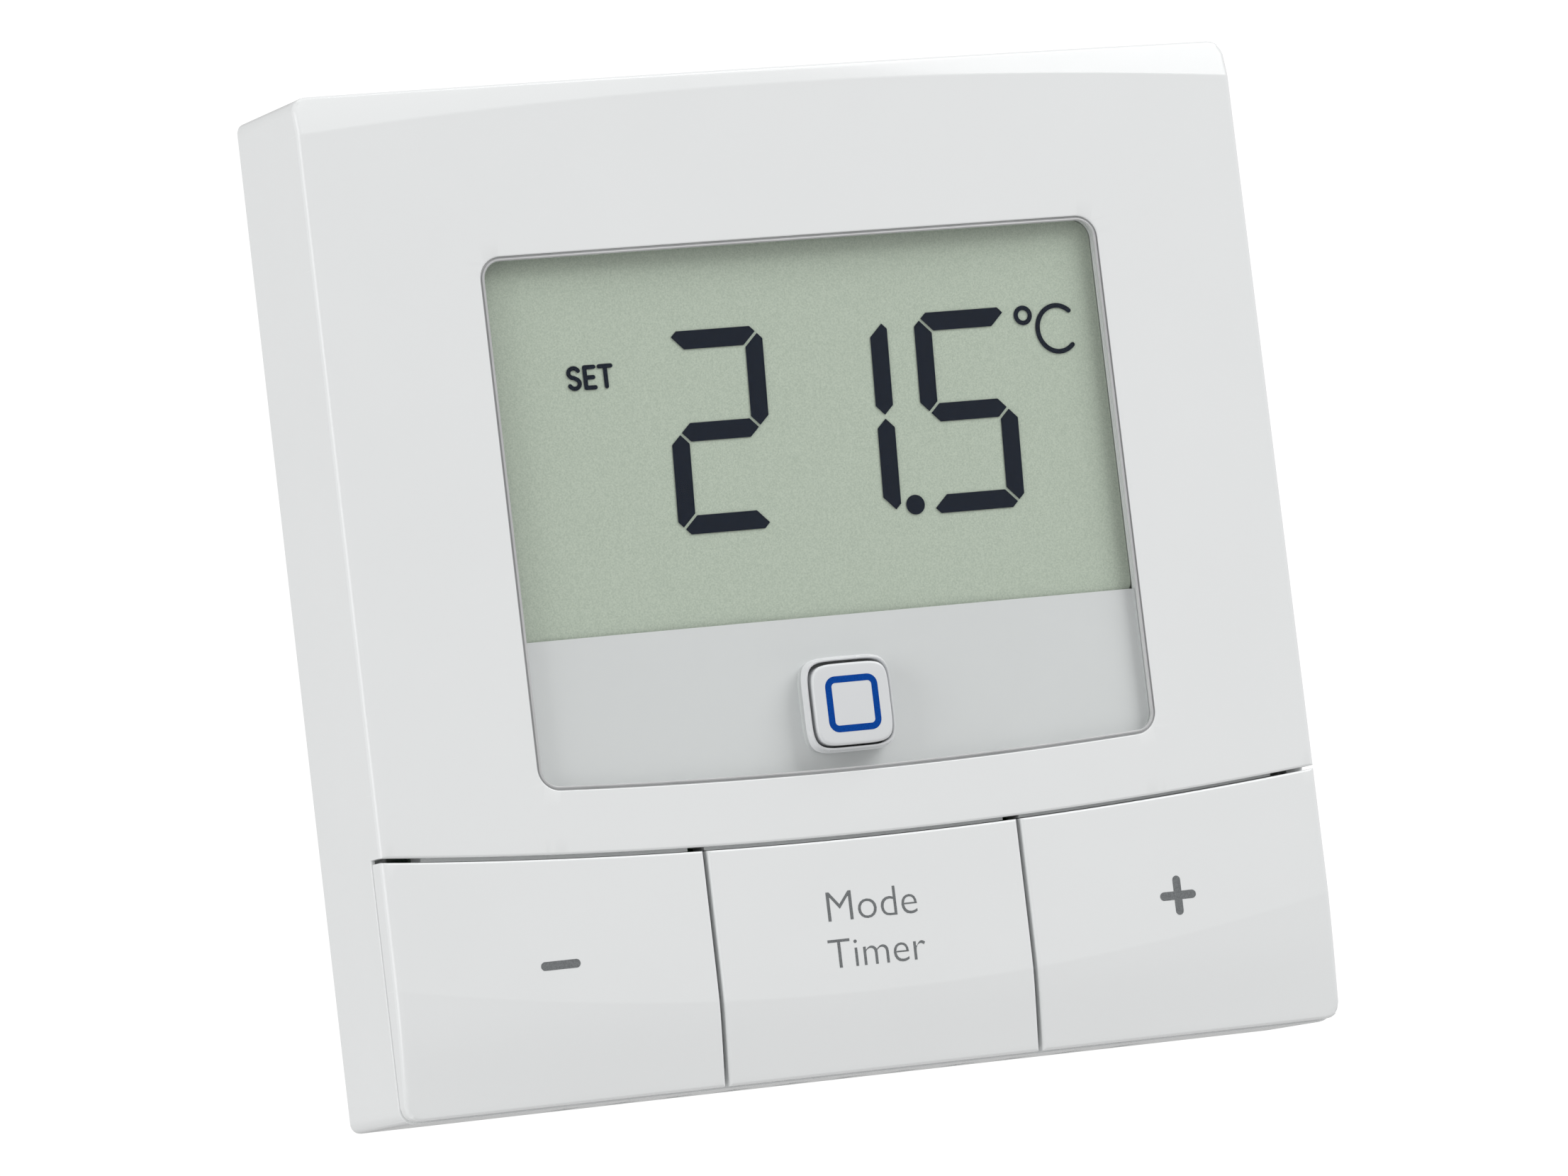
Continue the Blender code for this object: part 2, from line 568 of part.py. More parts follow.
def cells():
    """Two cells lying opposite ways, each between a coil spring and a flat contact."""
    for number, sign in ((1, 1), (2, -1)):
        z = sign * CELL_Z
        low = -21.0 * sign
        flat_end = sorted((low, low + sign * CELL_LENGTH))
        nub_end = sorted((low + sign * (CELL_LENGTH - 1.0), low + sign * (CELL_LENGTH + NUB_LENGTH)))
        cell = bar(f"battery_{number}", flat_end, CELL_DEPTH, z, CELL_R, sides=28)
        join(cell, bar(f"battery_nub_{number}", nub_end, CELL_DEPTH, z, 1.9, sides=16))
        keep(cell, plastic(f"battery_sleeve_{number}", (0.05, 0.16, 0.3), 0.35), smooth=True)
        coil = []
        for turn in (i / 10 for i in range(33)):
            radius = 3.4 - 0.45 * turn
            x = sign * (-24.5 + 0.95 * turn)
            angle = 2 * math.pi * turn
            coil.append((x, CELL_DEPTH + radius * math.cos(angle), z + radius * math.sin(angle)))
        spring = wire(f"contact_spring_{number}", coil, 0.25)
        keep(spring, plastic(f"spring_steel_{number}", (0.75, 0.75, 0.72), 0.25, 1.0), smooth=True)
        flat = sorted((sign * 23.85, sign * 24.25))
        contact = box(f"contact_plate_{number}", flat, (2.6, 10.8), (z - 3.8, z + 3.8))
        keep(contact, plastic(f"plate_nickel_{number}", (0.75, 0.74, 0.7), 0.3, 1.0))


def mounting_plate():
    outline = rounded(0.0, 0.0, 2 * PLATE_HALF, 2 * PLATE_HALF, 3.0)
    plate = prism("mounting_plate", outline, (0.0, PLATE_RIM))
    dish = 2 * (PLATE_HALF - DISH_INSET)
    cut(plate, prism("plate_dish", rounded(0.0, 0.0, dish, dish, 2.0), (PLATE_THICK, 5.0)))
    for x, z, width, height in SCREW_WAYS:
        outline = rounded(x, z, width, height, min(width, height) / 2 - 0.01, count=6)
        cut(plate, prism(f"screw_way_{x}_{z}", outline, (-1.0, 3.0)))
    for x in (-HOOK_X, HOOK_X):
        for sign in (-1, 1):
            z = sign * HOOK_Z
            join(plate, block(f"hook_{x}_{sign}", x, z, (8.0, 1.2), (0.5, 5.6)))
            join(plate, block(f"hook_nose_{x}_{sign}", x, z + sign * 0.8, (8.0, 0.8), (4.75, 5.4)))
    join(plate, prism("up_arrow", [(-3.0, 20.0), (3.0, 20.0), (0.0, 25.0)], (0.6, 1.3)))
    return keep(plate, plastic("plate_white", (0.74, 0.75, 0.75), 0.55))


def build():
    global parts, tools
    clear_scene()
    parts = new_collection("wall_thermostat")
    tools = new_collection("cutters")
    mounting_plate()
    rear_housing()
    front_cover()
    window_lens()
    display_mask()
    display()
    board()
    cells()
    system_button()
    tact_switch("system", 0.0, BUTTON_Z)
    edge = KEY_EDGE_X
    gap = KEY_LINE / 2
    spans = {"minus": (-46.0, -edge - gap), "menu": (-edge + gap, edge - gap), "plus": (edge + gap, 46.0)}
    for place, (left, right) in spans.items():
        key_cap(place, left, right)
        tact_switch(place, KEY_CENTRES[place], KEY_SWITCH_Z)


build()
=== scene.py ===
"""Looks of a battery wall thermostat with a display, three keys and a button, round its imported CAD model.

The script works in millimetres, with X to the right, Z up and "depth" counted out from the wall, so a point
of depth d lies at Y = -d. to_metres() turns such a point into the frame's own units.
"""

import math

import bmesh
import bpy
from mathutils import Matrix, Vector


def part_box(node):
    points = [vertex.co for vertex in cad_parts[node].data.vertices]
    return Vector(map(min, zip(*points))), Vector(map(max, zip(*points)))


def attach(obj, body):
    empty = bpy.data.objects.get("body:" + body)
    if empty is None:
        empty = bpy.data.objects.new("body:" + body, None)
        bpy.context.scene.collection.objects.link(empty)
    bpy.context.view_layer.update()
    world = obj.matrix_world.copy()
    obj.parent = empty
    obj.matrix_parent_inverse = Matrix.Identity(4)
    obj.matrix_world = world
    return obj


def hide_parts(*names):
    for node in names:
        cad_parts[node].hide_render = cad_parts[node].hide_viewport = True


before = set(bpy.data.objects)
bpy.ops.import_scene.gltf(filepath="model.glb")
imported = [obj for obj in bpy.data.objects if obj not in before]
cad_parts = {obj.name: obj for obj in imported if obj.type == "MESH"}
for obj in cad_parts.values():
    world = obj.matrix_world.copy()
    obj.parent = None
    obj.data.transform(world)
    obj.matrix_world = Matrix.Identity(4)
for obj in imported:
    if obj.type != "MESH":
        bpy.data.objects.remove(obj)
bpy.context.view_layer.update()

MM = 0.001


def box_mm(node):
    low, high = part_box(node)
    return low / MM, high / MM


# Places taken from the frame
COVER_HIGH = box_mm("front_cover")[1]
LENS_LOW, LENS_HIGH = box_mm("window_lens")
BUTTON_LOW, BUTTON_HIGH = box_mm("system_button")
LCD_LOW, LCD_HIGH = box_mm("lcd_glass")
HALF_BACK = COVER_HIGH.x
COVER_BACK = -COVER_HIGH.y
PANE_HALF = LENS_HIGH.x
PANE_TOP = LENS_HIGH.z
BUTTON_Z = (BUTTON_LOW.z + BUTTON_HIGH.z) / 2
BUTTON_FRONT = -BUTTON_LOW.y
COLLAR_FRONT = -LENS_LOW.y
LCD_BACK = -LCD_HIGH.y

# Outer form: depth and half sizes of its rim, bulge of its front, edge radii and wall thickness
RIM_DEPTH = 17.0
HALF_SIDE = 39.75
HALF_TOP = 39.8
HALF_FOOT = 39.92
CROWN = 0.45
CORNER_R = 1.25
BACK_CORNER_R = 0.8
SIDE_R = 0.5
TOP_R = 0.25
GAP_EDGE_R = 0.2
WALL = 1.7

# Arched lines of the front: height on the centre line, and how it changes with x squared
TOP_CREASE = (38.45, -0.00105)
KEY_GAP = (-21.43, 0.00117)
LOW_CREASE = (-33.6, 0.0025)
PANE_FOOT = (-16.15, 0.00115)

# How the face bends away above its top line and near its foot
TOP_BAND_SLOPE = 0.2
TOP_BAND_CURVE = 0.02
CREASE_WIDTH = 0.1
LOW_CREASE_SLOPE = 0.05
LOW_BEND_SLOPE = 0.125
LOW_BEND_Z = -33.8
LOW_BEND_WIDTH = 2.0
LOW_BEND_FADE = 0.6

# Window: the pane, the cover's hole and ledge round it, the pane's rim, and the grey sheet behind it
PANE_R = 1.6
PANE_EDGE_R = 0.1
PANE_GAP = 0.15
HOLE_HALF = PANE_HALF + PANE_GAP
HOLE_TOP = PANE_TOP + PANE_GAP
HOLE_R = PANE_R + PANE_GAP
HOLE_EDGE_R = 0.1
CORNER_FADE = 2.5
LEDGE = 0.12
LEDGE_DEPTH = 15.84
LENS_FRONT = 16.95
LENS_BACK = 15.95
LENS_RIM = 0.2
LENS_RIM_DEEP = 0.3
RIM_TOP = 0.02
RIM_FLANGE = 0.12
FILM_FRONT = 15.93
FILM_BACK = 15.85
FILM_INSET = -0.08
FILM_TOP = -3.9

# Keys, and the deck behind them
KEY_LINE_HALF = 0.17
KEY_EDGE_X = 13.34
KEY_BOTTOM = -39.75
KEY_BACK = 15.0
KEY_FOOT_R = 0.25
KEY_EDGE_R = 0.3
KEY_TOP_R = 0.2
KEY_LINE_TAPER = 0.0012
KEY_CENTRE = 26.5
DECK_FRONT = 14.62
DECK_EDGE_R = 0.15
DECK_BACK = 13.9
LINING_FRONT = 15.3
PUSHER_END = 14.42
KEY_SWITCH_Z = -27.0
KEY_CENTRES = {"minus": -KEY_CENTRE, "menu": 0.0, "plus": KEY_CENTRE}
TAB_X = 8.0
TAB_HALF = 1.2
TAB_END = 13.0
TAB_SPAN = (-37.7, -36.9)
TAB_NOSE = (-37.3, -36.5)
TAB_HOLE = (-38.2, -36.2)
SWITCH_HOLE = 2.8
PUSHER_R = 1.2

# Gap above the keys: its dark notches as (middle, width), and the shelves between them
NOTCHES = ((-37.87, 3.15), (-13.8, 1.5), (13.0, 1.5), (37.2, 2.2))
NOTCH_TOP = 16.3
SHELVES = ((-36.3, -14.5), (-13.1, 12.3), (13.7, 36.2))
SHELF_SINK = 0.85
SHELF_GAP = 0.08
SHELF_ROOT = 0.5

# Inside of the cover, and its vents
BOSS_X = 31.5
BOSS_HEIGHTS = (31.0, -12.0)
BOSS_R = 2.4
BOSS_SPAN = (13.4, 16.1)
BOSS_BORE_R = 1.1
BOSS_BORE_SPAN = (10.0, 15.6)
VENTS = 11
VENT_PITCH = 4.8
VENT_WIDTH = 1.8
VENT_SPAN = (5.5, 10.0)
VENT_Z = 39.0

# System button and the raised collar round it
BUTTON_HALF = 3.22
BUTTON_POWER = 5.5
BUTTON_EDGE_R = 0.2
BUTTON_DOME = 0.08
BUTTON_SHIFT = (0.05, -0.05)
BUTTON_BACK = 15.2
FLANGE_HALF = 4.2
FLANGE_SPAN = (14.95, 15.55)
RING_OUTER = (4.44, 4.42, 0.86)
RING_INNER = (3.38, 3.36, 0.32)
COLLAR_GAP = 0.2
COLLAR_FLARE = 0.22
COLLAR_FOOT = -1.015
COLLAR_WALL = 0.25
PANE_HOLE = 0.28
FILM_HOLE = 0.24

# Display
LCD_MIDDLE = 14.5
LCD_FIELD = 15.92
LCD_IMAGE = (16.01, 15.97)
LCD_TOP = 16.08
LCD_STEP = 1.6
LCD_SIDE_GAP = 0.08
DIGITS_LEFT = -11.56
DIGITS_FOOT = 3.45
DIGIT_WIDTH = 8.3
DIGIT_HEIGHT = 16.05
DIGIT_PITCH = 10.66
DIGIT_SLANT = 0.04
BAR_WIDTH = 1.47
BAR_GAP = 0.16
POINT = (8.34, 4.3, 0.79)
DEGREE_AT = (19.52, 18.7)
DEGREE_R = (0.79, 0.43)
LETTER_C_AT = (22.39, 17.45)
LETTER_C_PEN = 0.38
LEGEND = (-19.61, 15.6, 1.02, 1.62)
LEGEND_PEN = 0.34

# Marks on the keys, and how far they stand above and below the front
MARK_PEN = 0.68
MARK_HIGH = 0.012
MARK_LOW = -0.05
MINUS_AT = (-26.25, -29.0)
MINUS_WIDTH = 3.24
PLUS_AT = (26.3, -28.7)
PLUS_WIDTH = 3.15
LABELS = (("upper", "Mode", -26.75, 7.6), ("lower", "Timer", -30.45, 8.2))
LABEL_WEIGHT = -0.012
LABEL_HIGH = 0.012
LABEL_LOW = -0.032


# Shape of the front


def arch(line, x):
    """Height at x of one of the front's arched lines."""
    return line[0] + line[1] * x * x


def crown(x):
    return CROWN * (1 - (x / HALF_BACK) ** 2)


def front_depth(x, z):
    """Depth of the front's face: crowned across, falling away in the top band and near the bottom."""
    rise = max(0.0, z - arch(TOP_CREASE, x))
    top = TOP_BAND_SLOPE * rise + TOP_BAND_CURVE * rise**2
    run = LOW_BEND_Z - z
    bend = LOW_BEND_SLOPE * (run + math.hypot(run, LOW_BEND_WIDTH)) / 2
    bend *= 1 - LOW_BEND_FADE * (x / HALF_BACK) ** 2
    low = LOW_CREASE_SLOPE * max(0.0, arch(LOW_CREASE, x) - z)
    return RIM_DEPTH + crown(x) - top - bend - low


def drafted(point):
    """The outer form widens a little towards the wall."""
    x, depth, z = point
    share = (RIM_DEPTH - min(depth, RIM_DEPTH)) / (RIM_DEPTH - COVER_BACK)
    x *= 1 + (HALF_BACK / HALF_SIDE - 1) * share
    z *= 1 + (HALF_BACK / (HALF_TOP if z > 0 else HALF_FOOT) - 1) * share
    return x, depth, z


def to_metres(point):
    return Vector((point[0], -point[1], point[2])) * MM


def drop(inset, radius):
    """How far a rounded edge lies below its face, that far in from the edge."""
    if inset >= radius:
        return 0.0
    return radius - math.sqrt(radius**2 - (radius - max(inset, 0.0)) ** 2)


def rounds(radius, count):
    """Distances in from an edge that sample its rounding evenly, both ends included."""
    return [radius * (1 - math.cos(math.pi / 2 * k / count)) for k in range(count + 1)]


def corner_lines(radius, count):
    """Distances in from an edge that sample a rounded corner evenly, both ends included."""
    return [radius * (1 - math.tan(math.pi / 4 * (1 - k / count))) for k in range(count + 1)]


def about(middle, half):
    """The span of that half width about a middle."""
    return middle - half, middle + half


def between(first, last, count):
    """Evenly spaced values strictly between two others."""
    return [first + (last - first) * k / count for k in range(1, count)]


def both_sides(right):
    """The places on the right, given from the edge inwards, with the middle and their mirror images."""
    return [-x for x in right] + [0.0] + right[::-1]


def rounded_corner(a, b, radius, fade=1.0):
    """Pulls a square corner onto an arc. a and b count outwards from the arc's centre."""
    if a <= 0 or b <= 0:
        return a, b
    reach = max(a, b)
    share = min(1.0, max(0.0, 1 - (reach - radius) / fade))
    scale = 1 + (reach / math.hypot(a, b) - 1) * share
    return a * scale, b * scale


def level(depth):
    """A flat face for Mesh.slab and Mesh.band: the same depth everywhere."""
    return lambda x, z: depth


def above(surface, rise):
    """A face that stands that far above surface(x, z), or below it if rise is negative."""
    return lambda x, z: surface(x, z) + rise


def cushion(half, shift=(0.0, 0.0)):
    """Outline of a square with bulged sides and round corners about the button's centre."""
    count = 96
    outline = []
    for k in range(count):
        a = 2 * math.pi * (k + 0.5) / count
        c, s = math.cos(a), math.sin(a)
        reach = half * (abs(c) ** BUTTON_POWER + abs(s) ** BUTTON_POWER) ** (-1 / BUTTON_POWER)
        outline.append((shift[0] + reach * c, shift[1] + BUTTON_Z + reach * s))
    return outline


def arc(cx, cz, radius, first, last, count):
    """Points of a round stretch, with angles in degrees."""
    step = math.radians(last - first) / count
    angles = [math.radians(first) + k * step for k in range(count + 1)]
    return [(cx + radius * math.cos(a), cz + radius * math.sin(a)) for a in angles]


def circle(x, z, radius, sides=24):
    return arc(x, z, radius, 0, 360 - 360 / sides, sides - 1)


def rounded(x, z, width, height, radius, count=8):
    """Outline of a rounded rectangle about (x, z)."""
    dx = width / 2 - radius
    dz = height / 2 - radius
    outline = []
    for k, (sx, sz) in enumerate(((1, 1), (-1, 1), (-1, -1), (1, -1))):
        outline += arc(x + sx * dx, z + sz * dz, radius, 90 * k, 90 * k + 90, count)
    return outline


# Mesh building


def with_settings(made, **settings):
    """Sets several attributes of something new, and hands it back."""
    for name, value in settings.items():
        setattr(made, name, value)
    return made


def linked(name, data):
    """A new object in the scene that holds this data."""
    made = bpy.data.objects.new(name, data)
    bpy.context.scene.collection.objects.link(made)
    return made


def turn_outward(data, merge=0.0):
    """Makes a mesh's normals face out, after merging the points that lie that close."""
    bm = bmesh.new()
    bm.from_mesh(data)
    if merge:
        bmesh.ops.remove_doubles(bm, verts=bm.verts, dist=merge)
    bmesh.ops.recalc_face_normals(bm, faces=bm.faces)
    bm.to_mesh(data)
    bm.free()


def grid_rim(grid):
    """What lies round the edge of a grid, in order."""
    rim = [line[0] for line in grid] + grid[-1][1:-1]
    return rim + [line[-1] for line in reversed(grid)] + grid[0][-2:0:-1]


class Mesh:
    """Collects faces between points in millimetres, and shares the points that coincide."""

    def __init__(self):
        self.points = {}
        self.faces = []

    def point(self, place):
        key = tuple(round(value, 4) for value in place)
        return self.points.setdefault(key, len(self.points))

    def face(self, *corners):
        ring = [self.point(corner) for corner in corners]
        ring = [v for k, v in enumerate(ring) if v != ring[k - 1]]
        if len(set(ring)) > 2:
            self.faces.append(ring)

    def strip(self, first, second, closed=True):
        """Faces between two rows of points."""
        for k in range(0 if closed else 1, len(first)):
            self.face(first[k - 1], first[k], second[k], second[k - 1])

    def loft(self, rows, closed=True):
        for first, second in zip(rows, rows[1:]):
            self.strip(first, second, closed)

    def fan(self, centre, ring):
        for k in range(len(ring)):
            self.face(centre, ring[k - 1], ring[k])

    def band(self, outer, inner, top, bottom):
        """A flat band between two outlines, from bottom(x, z) to top(x, z)."""
        high_out, high_in = ([(x, top(x, z), z) for x, z in line] for line in (outer, inner))
        low_out, low_in = ([(x, bottom(x, z), z) for x, z in line] for line in (outer, inner))
        self.loft([high_out, high_in, low_in, low_out, high_out])

    def slab(self, outline, top, bottom):
        """A plate of that outline, from bottom(x, z) to top(x, z)."""
        high = [(x, top(x, z), z) for x, z in outline]
        low = [(x, bottom(x, z), z) for x, z in outline]
        self.face(*high)
        self.face(*low)
        self.strip(high, low)

    def sheet(self, front, depth):
        """A closed sheet between a grid of points and the same grid at depth(x)."""
        back = [[(x, depth(x), z) for x, _, z in line] for line in front]
        for side in (front, back):
            self.loft(side, closed=False)
        self.strip(grid_rim(front), grid_rim(back))

    def build(self, name, shape=None):
        """The object, in metres, with its normals facing out."""
        places = [to_metres(shape(p) if shape else p) for p in self.points]
        data = bpy.data.meshes.new(name)
        data.from_pydata(places, [], self.faces)
        turn_outward(data)
        return linked(name, data)


def evaluated(obj):
    """The mesh that an object's modifiers or lettering come to."""
    bpy.context.view_layer.update()
    graph = bpy.context.evaluated_depsgraph_get()
    return bpy.data.meshes.new_from_object(obj.evaluated_get(graph))


def plate(name, outline, top, bottom):
    """An object of one slab, from bottom(x, z) to top(x, z)."""
    mesh = Mesh()
    mesh.slab(outline, top, bottom)
    return mesh.build(name)


def boolean(target, other, operation):
    """Cuts or joins a helper, which is then removed."""
    step = target.modifiers.new(operation, "BOOLEAN")
    with_settings(step, operation=operation, solver="EXACT", object=other)
    data = evaluated(target)
    target.modifiers.clear()
    target.data = data
    bpy.data.objects.remove(other)


def blocks(name, sizes):
    """One helper holding several blocks, each given by two x, two depths and two z."""
    mesh = Mesh()
    for (x0, x1), (d0, d1), (z0, z1) in sizes:
        outline = [(x0, z0), (x1, z0), (x1, z1), (x0, z1)]
        mesh.slab(outline, level(d1), level(d0))
    return mesh.build(name)


def rods(name, places, radius, depths):
    """One helper holding several round bars that stand out from the wall."""
    mesh = Mesh()
    for x, z in places:
        mesh.slab(circle(x, z, radius, 40), level(depths[1]), level(depths[0]))
    return mesh.build(name)


def shade(obj, angle=32.0):
    """Smooth shading that keeps edges sharper than the angle."""
    obj.data.shade_smooth()
    obj.data.set_sharp_from_angle(angle=math.radians(angle))


def even_normals(obj):
    """Flat faces keep their flat look beside narrow rounded edges."""
    with_settings(obj.modifiers.new("even_normals", "WEIGHTED_NORMAL"), keep_sharp=True, weight=60)


def paint(obj, material):
    obj.data.materials.clear()
    obj.data.materials.append(material)


def piece(obj, material, body, slot, *nodes):
    """Finishes a made piece: its material, the body it rides on and the CAD nodes it stands for."""
    paint(obj, material)
    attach(obj, body)
    if nodes:
        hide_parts(*nodes)
    return obj


# Materials


def add_node(tree, kind, sockets, **settings):
    """A new node, whose sockets are given a value or linked from another node's socket."""
    node = with_settings(tree.nodes.new(kind), **settings)
    for name, value in sockets.items():
        if isinstance(value, bpy.types.NodeSocket):
            tree.links.new(value, node.inputs[name])
        else:
            node.inputs[name].default_value = value
    return node


class Finish:
    """A node material round one Principled shader, with short names for the nodes used here."""

    def __init__(self, name, roughness=0.5, metallic=0.0, specular=0.5):
        self.material = bpy.data.materials.new(name)
        self.material.use_nodes = True
        self.tree = self.material.node_tree
        self.shader = self.tree.nodes["Principled BSDF"]
        self.shader.inputs["Roughness"].default_value = roughness
        self.shader.inputs["Metallic"].default_value = metallic
        self.shader.inputs["Specular IOR Level"].default_value = specular
        self.place = self.add("ShaderNodeTexCoord", {}).outputs["Object"]

    def add(self, kind, sockets, **settings):
        return add_node(self.tree, kind, sockets, **settings)

    def noise(self, scale, detail=2.0, place=None):
        sockets = {"Scale": scale, "Detail": detail, "Vector": place or self.place}
        return self.add("ShaderNodeTexNoise", sockets).outputs["Fac"]

    def mapped(self, **change):
        """The object's coordinates, scaled or turned."""
        return self.add("ShaderNodeMapping", {"Vector": self.place, **change}).outputs["Vector"]

    def ramp(self, value, *stops):
        """Colours along a value, as (position, colour) pairs."""
        node = self.add("ShaderNodeValToRGB", {"Fac": value})
        places = node.color_ramp.elements
        while len(places) < len(stops):
            places.new(0.5)
        for element, (position, colour) in zip(places, stops):
            element.position = position
            element.color = (*colour, 1.0)
        return node.outputs["Color"]

    def spread(self, value, low, high):
        """Brings a value that runs from about 0.3 to 0.7, as noise does, to another range."""
        sockets = {"Value": value, "From Min": 0.3, "From Max": 0.7, "To Min": low, "To Max": high}
        return self.add("ShaderNodeMapRange", sockets).outputs["Result"]

    def mix(self, share, first, second):
        sockets = {"Factor": share, "A": first, "B": second}
        return self.add("ShaderNodeMix", sockets, data_type="RGBA").outputs["Result"]

    def colour(self, source):
        self.tree.links.new(source, self.shader.inputs["Base Color"])

    def shades(self, value, colour, low, high=1.0):
        """Colours the surface in shades of one colour, from the low share of it to the high one."""
        self.colour(self.ramp(value, (0.3, scaled(colour, low)), (0.7, scaled(colour, high))))

    def rough(self, source):
        self.tree.links.new(source, self.shader.inputs["Roughness"])

    def bump(self, height, distance):
        """Surface relief, with its depth in millimetres."""
        node = self.add("ShaderNodeBump", {"Height": height, "Strength": 1.0, "Distance": distance * MM})
        self.tree.links.new(node.outputs["Normal"], self.shader.inputs["Normal"])


def scaled(colour, factor):
    return tuple(value * factor for value in colour)


def moulded(name, colour, roughness, grain=0.0015, mottle=0.012):
    """Injection-moulded plastic: a faint mottle, a fine spark-eroded grain and slightly uneven gloss."""
    finish = Finish(name, specular=0.4)
    finish.shades(finish.noise(90.0, 3.0), colour, 1 - mottle)
    finish.rough(finish.spread(finish.noise(700.0, 3.0), roughness - 0.02, roughness + 0.03))
    finish.bump(finish.noise(5200.0, 2.0), grain)
    return finish.material


def printed(name, colour, roughness=0.55):
    """Pad-printed ink: dense colour with a fine screen speckle."""
    finish = Finish(name, roughness, specular=0.05)
    finish.shades(finish.noise(9000.0, 1.0), colour, 0.82, 1.15)
    finish.bump(finish.noise(12000.0, 1.0), 0.004)
    return finish.material


def brushed(name, colour, roughness, along=(40.0, 1.0, 1.0)):
    """Sheet or drawn metal with fine lines along one way."""
    finish = Finish(name, roughness, 1.0)
    lines = finish.noise(900.0, 3.0, finish.mapped(Scale=along))
    finish.shades(lines, colour, 0.82)
    finish.rough(finish.spread(lines, roughness - 0.08, roughness + 0.1))
    finish.bump(lines, 0.004)
    return finish.material


def clear_pane(name, tint, shine):
    """Clear sheet: light passes straight through, with a weak surface reflection that grows at a slant."""
    finish = Finish(name)
    finish.tree.nodes.remove(finish.shader)
    through = finish.add("ShaderNodeBsdfTransparent", {"Color": (*tint, 1.0)})
    roughness = finish.spread(finish.noise(600.0), 0.02, 0.05)
    gloss = finish.add("ShaderNodeBsdfGlossy", {"Roughness": roughness})
    slant = finish.add("ShaderNodeLayerWeight", {"Blend": 0.02}).outputs["Facing"]
    share = finish.add("ShaderNodeMapRange", {"Value": slant, "To Min": shine}).outputs["Result"]
    sockets = {"Fac": share, 1: through.outputs["BSDF"], 2: gloss.outputs["BSDF"]}
    blend = finish.add("ShaderNodeMixShader", sockets)
    output = finish.tree.nodes["Material Output"]
    finish.tree.links.new(blend.outputs["Shader"], output.inputs["Surface"])
    return finish.material


def lcd_field(name):
    """Grey-green polariser over a reflector: a fine sparkle of lighter and darker grains."""
    finish = Finish(name, 0.42, specular=0.1)
    fine = finish.noise(8500.0, 2.0)
    broad = finish.noise(260.0, 3.0)
    light = finish.ramp(fine, (0.3, (0.555, 0.625, 0.536)), (0.7, (0.71, 0.77, 0.674)))
    dark = finish.ramp(fine, (0.3, (0.545, 0.615, 0.525)), (0.7, (0.695, 0.758, 0.658)))
    finish.colour(finish.mix(broad, light, dark))
    finish.bump(fine, 0.003)
    return finish.material


def board_laminate(name):
    """Green solder mask over copper tracks, with the weave of the glass cloth below."""
    finish = Finish(name, 0.38)
    sockets = {
        "Vector": finish.mapped(Rotation=(math.pi / 2, 0.0, 0.0)),
        "Scale": 140.0,
        "Mortar Size": 0.06,
        "Color1": (0.01, 0.12, 0.045, 1.0),
        "Color2": (0.012, 0.14, 0.05, 1.0),
        "Mortar": (0.02, 0.22, 0.08, 1.0),
    }
    finish.colour(finish.add("ShaderNodeTexBrick", sockets).outputs["Color"])
    weave = finish.noise(1800.0, 2.0, finish.mapped(Scale=(1.0, 1.0, 3.0)))
    finish.bump(weave, 0.01)
    return finish.material


def cell_sleeve(name, sign):
    """Printed metal sleeve of a cell: dark, with a copper end by the raised contact."""
    finish = Finish(name, 0.3, 0.75)
    along = finish.add("ShaderNodeSeparateXYZ", {0: finish.place}).outputs["X"]
    sockets = {0: along, 1: sign / (50 * MM), 2: 0.5}
    share = finish.add("ShaderNodeMath", sockets, operation="MULTIPLY_ADD").outputs[0]
    dark, line, copper = (0.018, 0.02, 0.022), (0.6, 0.58, 0.5), (0.52, 0.24, 0.1)
    stops = (0.0, dark), (0.66, dark), (0.665, line), (0.675, line), (0.68, copper), (1.0, copper)
    bands = finish.ramp(share, *stops)
    grime = finish.noise(700.0, 3.0)
    worn = finish.ramp(grime, (0.3, (0.05, 0.05, 0.05)), (0.75, (0.12, 0.11, 0.1)))
    finish.colour(finish.mix(finish.spread(grime, 0.0, 0.18), bands, worn))
    finish.rough(finish.spread(grime, 0.22, 0.36))
    return finish.material


WHITE = (0.862, 0.876, 0.878)


# Pieces of the front


def window_sill(x):
    """Height of the foot of the cover's window hole."""
    return arch(PANE_FOOT, x) - PANE_GAP


def cover_columns():
    right = [HALF_SIDE - e for e in rounds(SIDE_R, 6)]
    right += [HALF_SIDE - BACK_CORNER_R, HALF_SIDE - CORNER_R]
    right += between(right[-1], HOLE_HALF + HOLE_EDGE_R, 8)
    right += [HOLE_HALF + e for e in reversed(rounds(HOLE_EDGE_R, 3))]
    right += [HOLE_HALF - e for e in corner_lines(HOLE_R, 5)[1:]]
    right += between(right[-1], 0.0, 14)
    return both_sides(right)


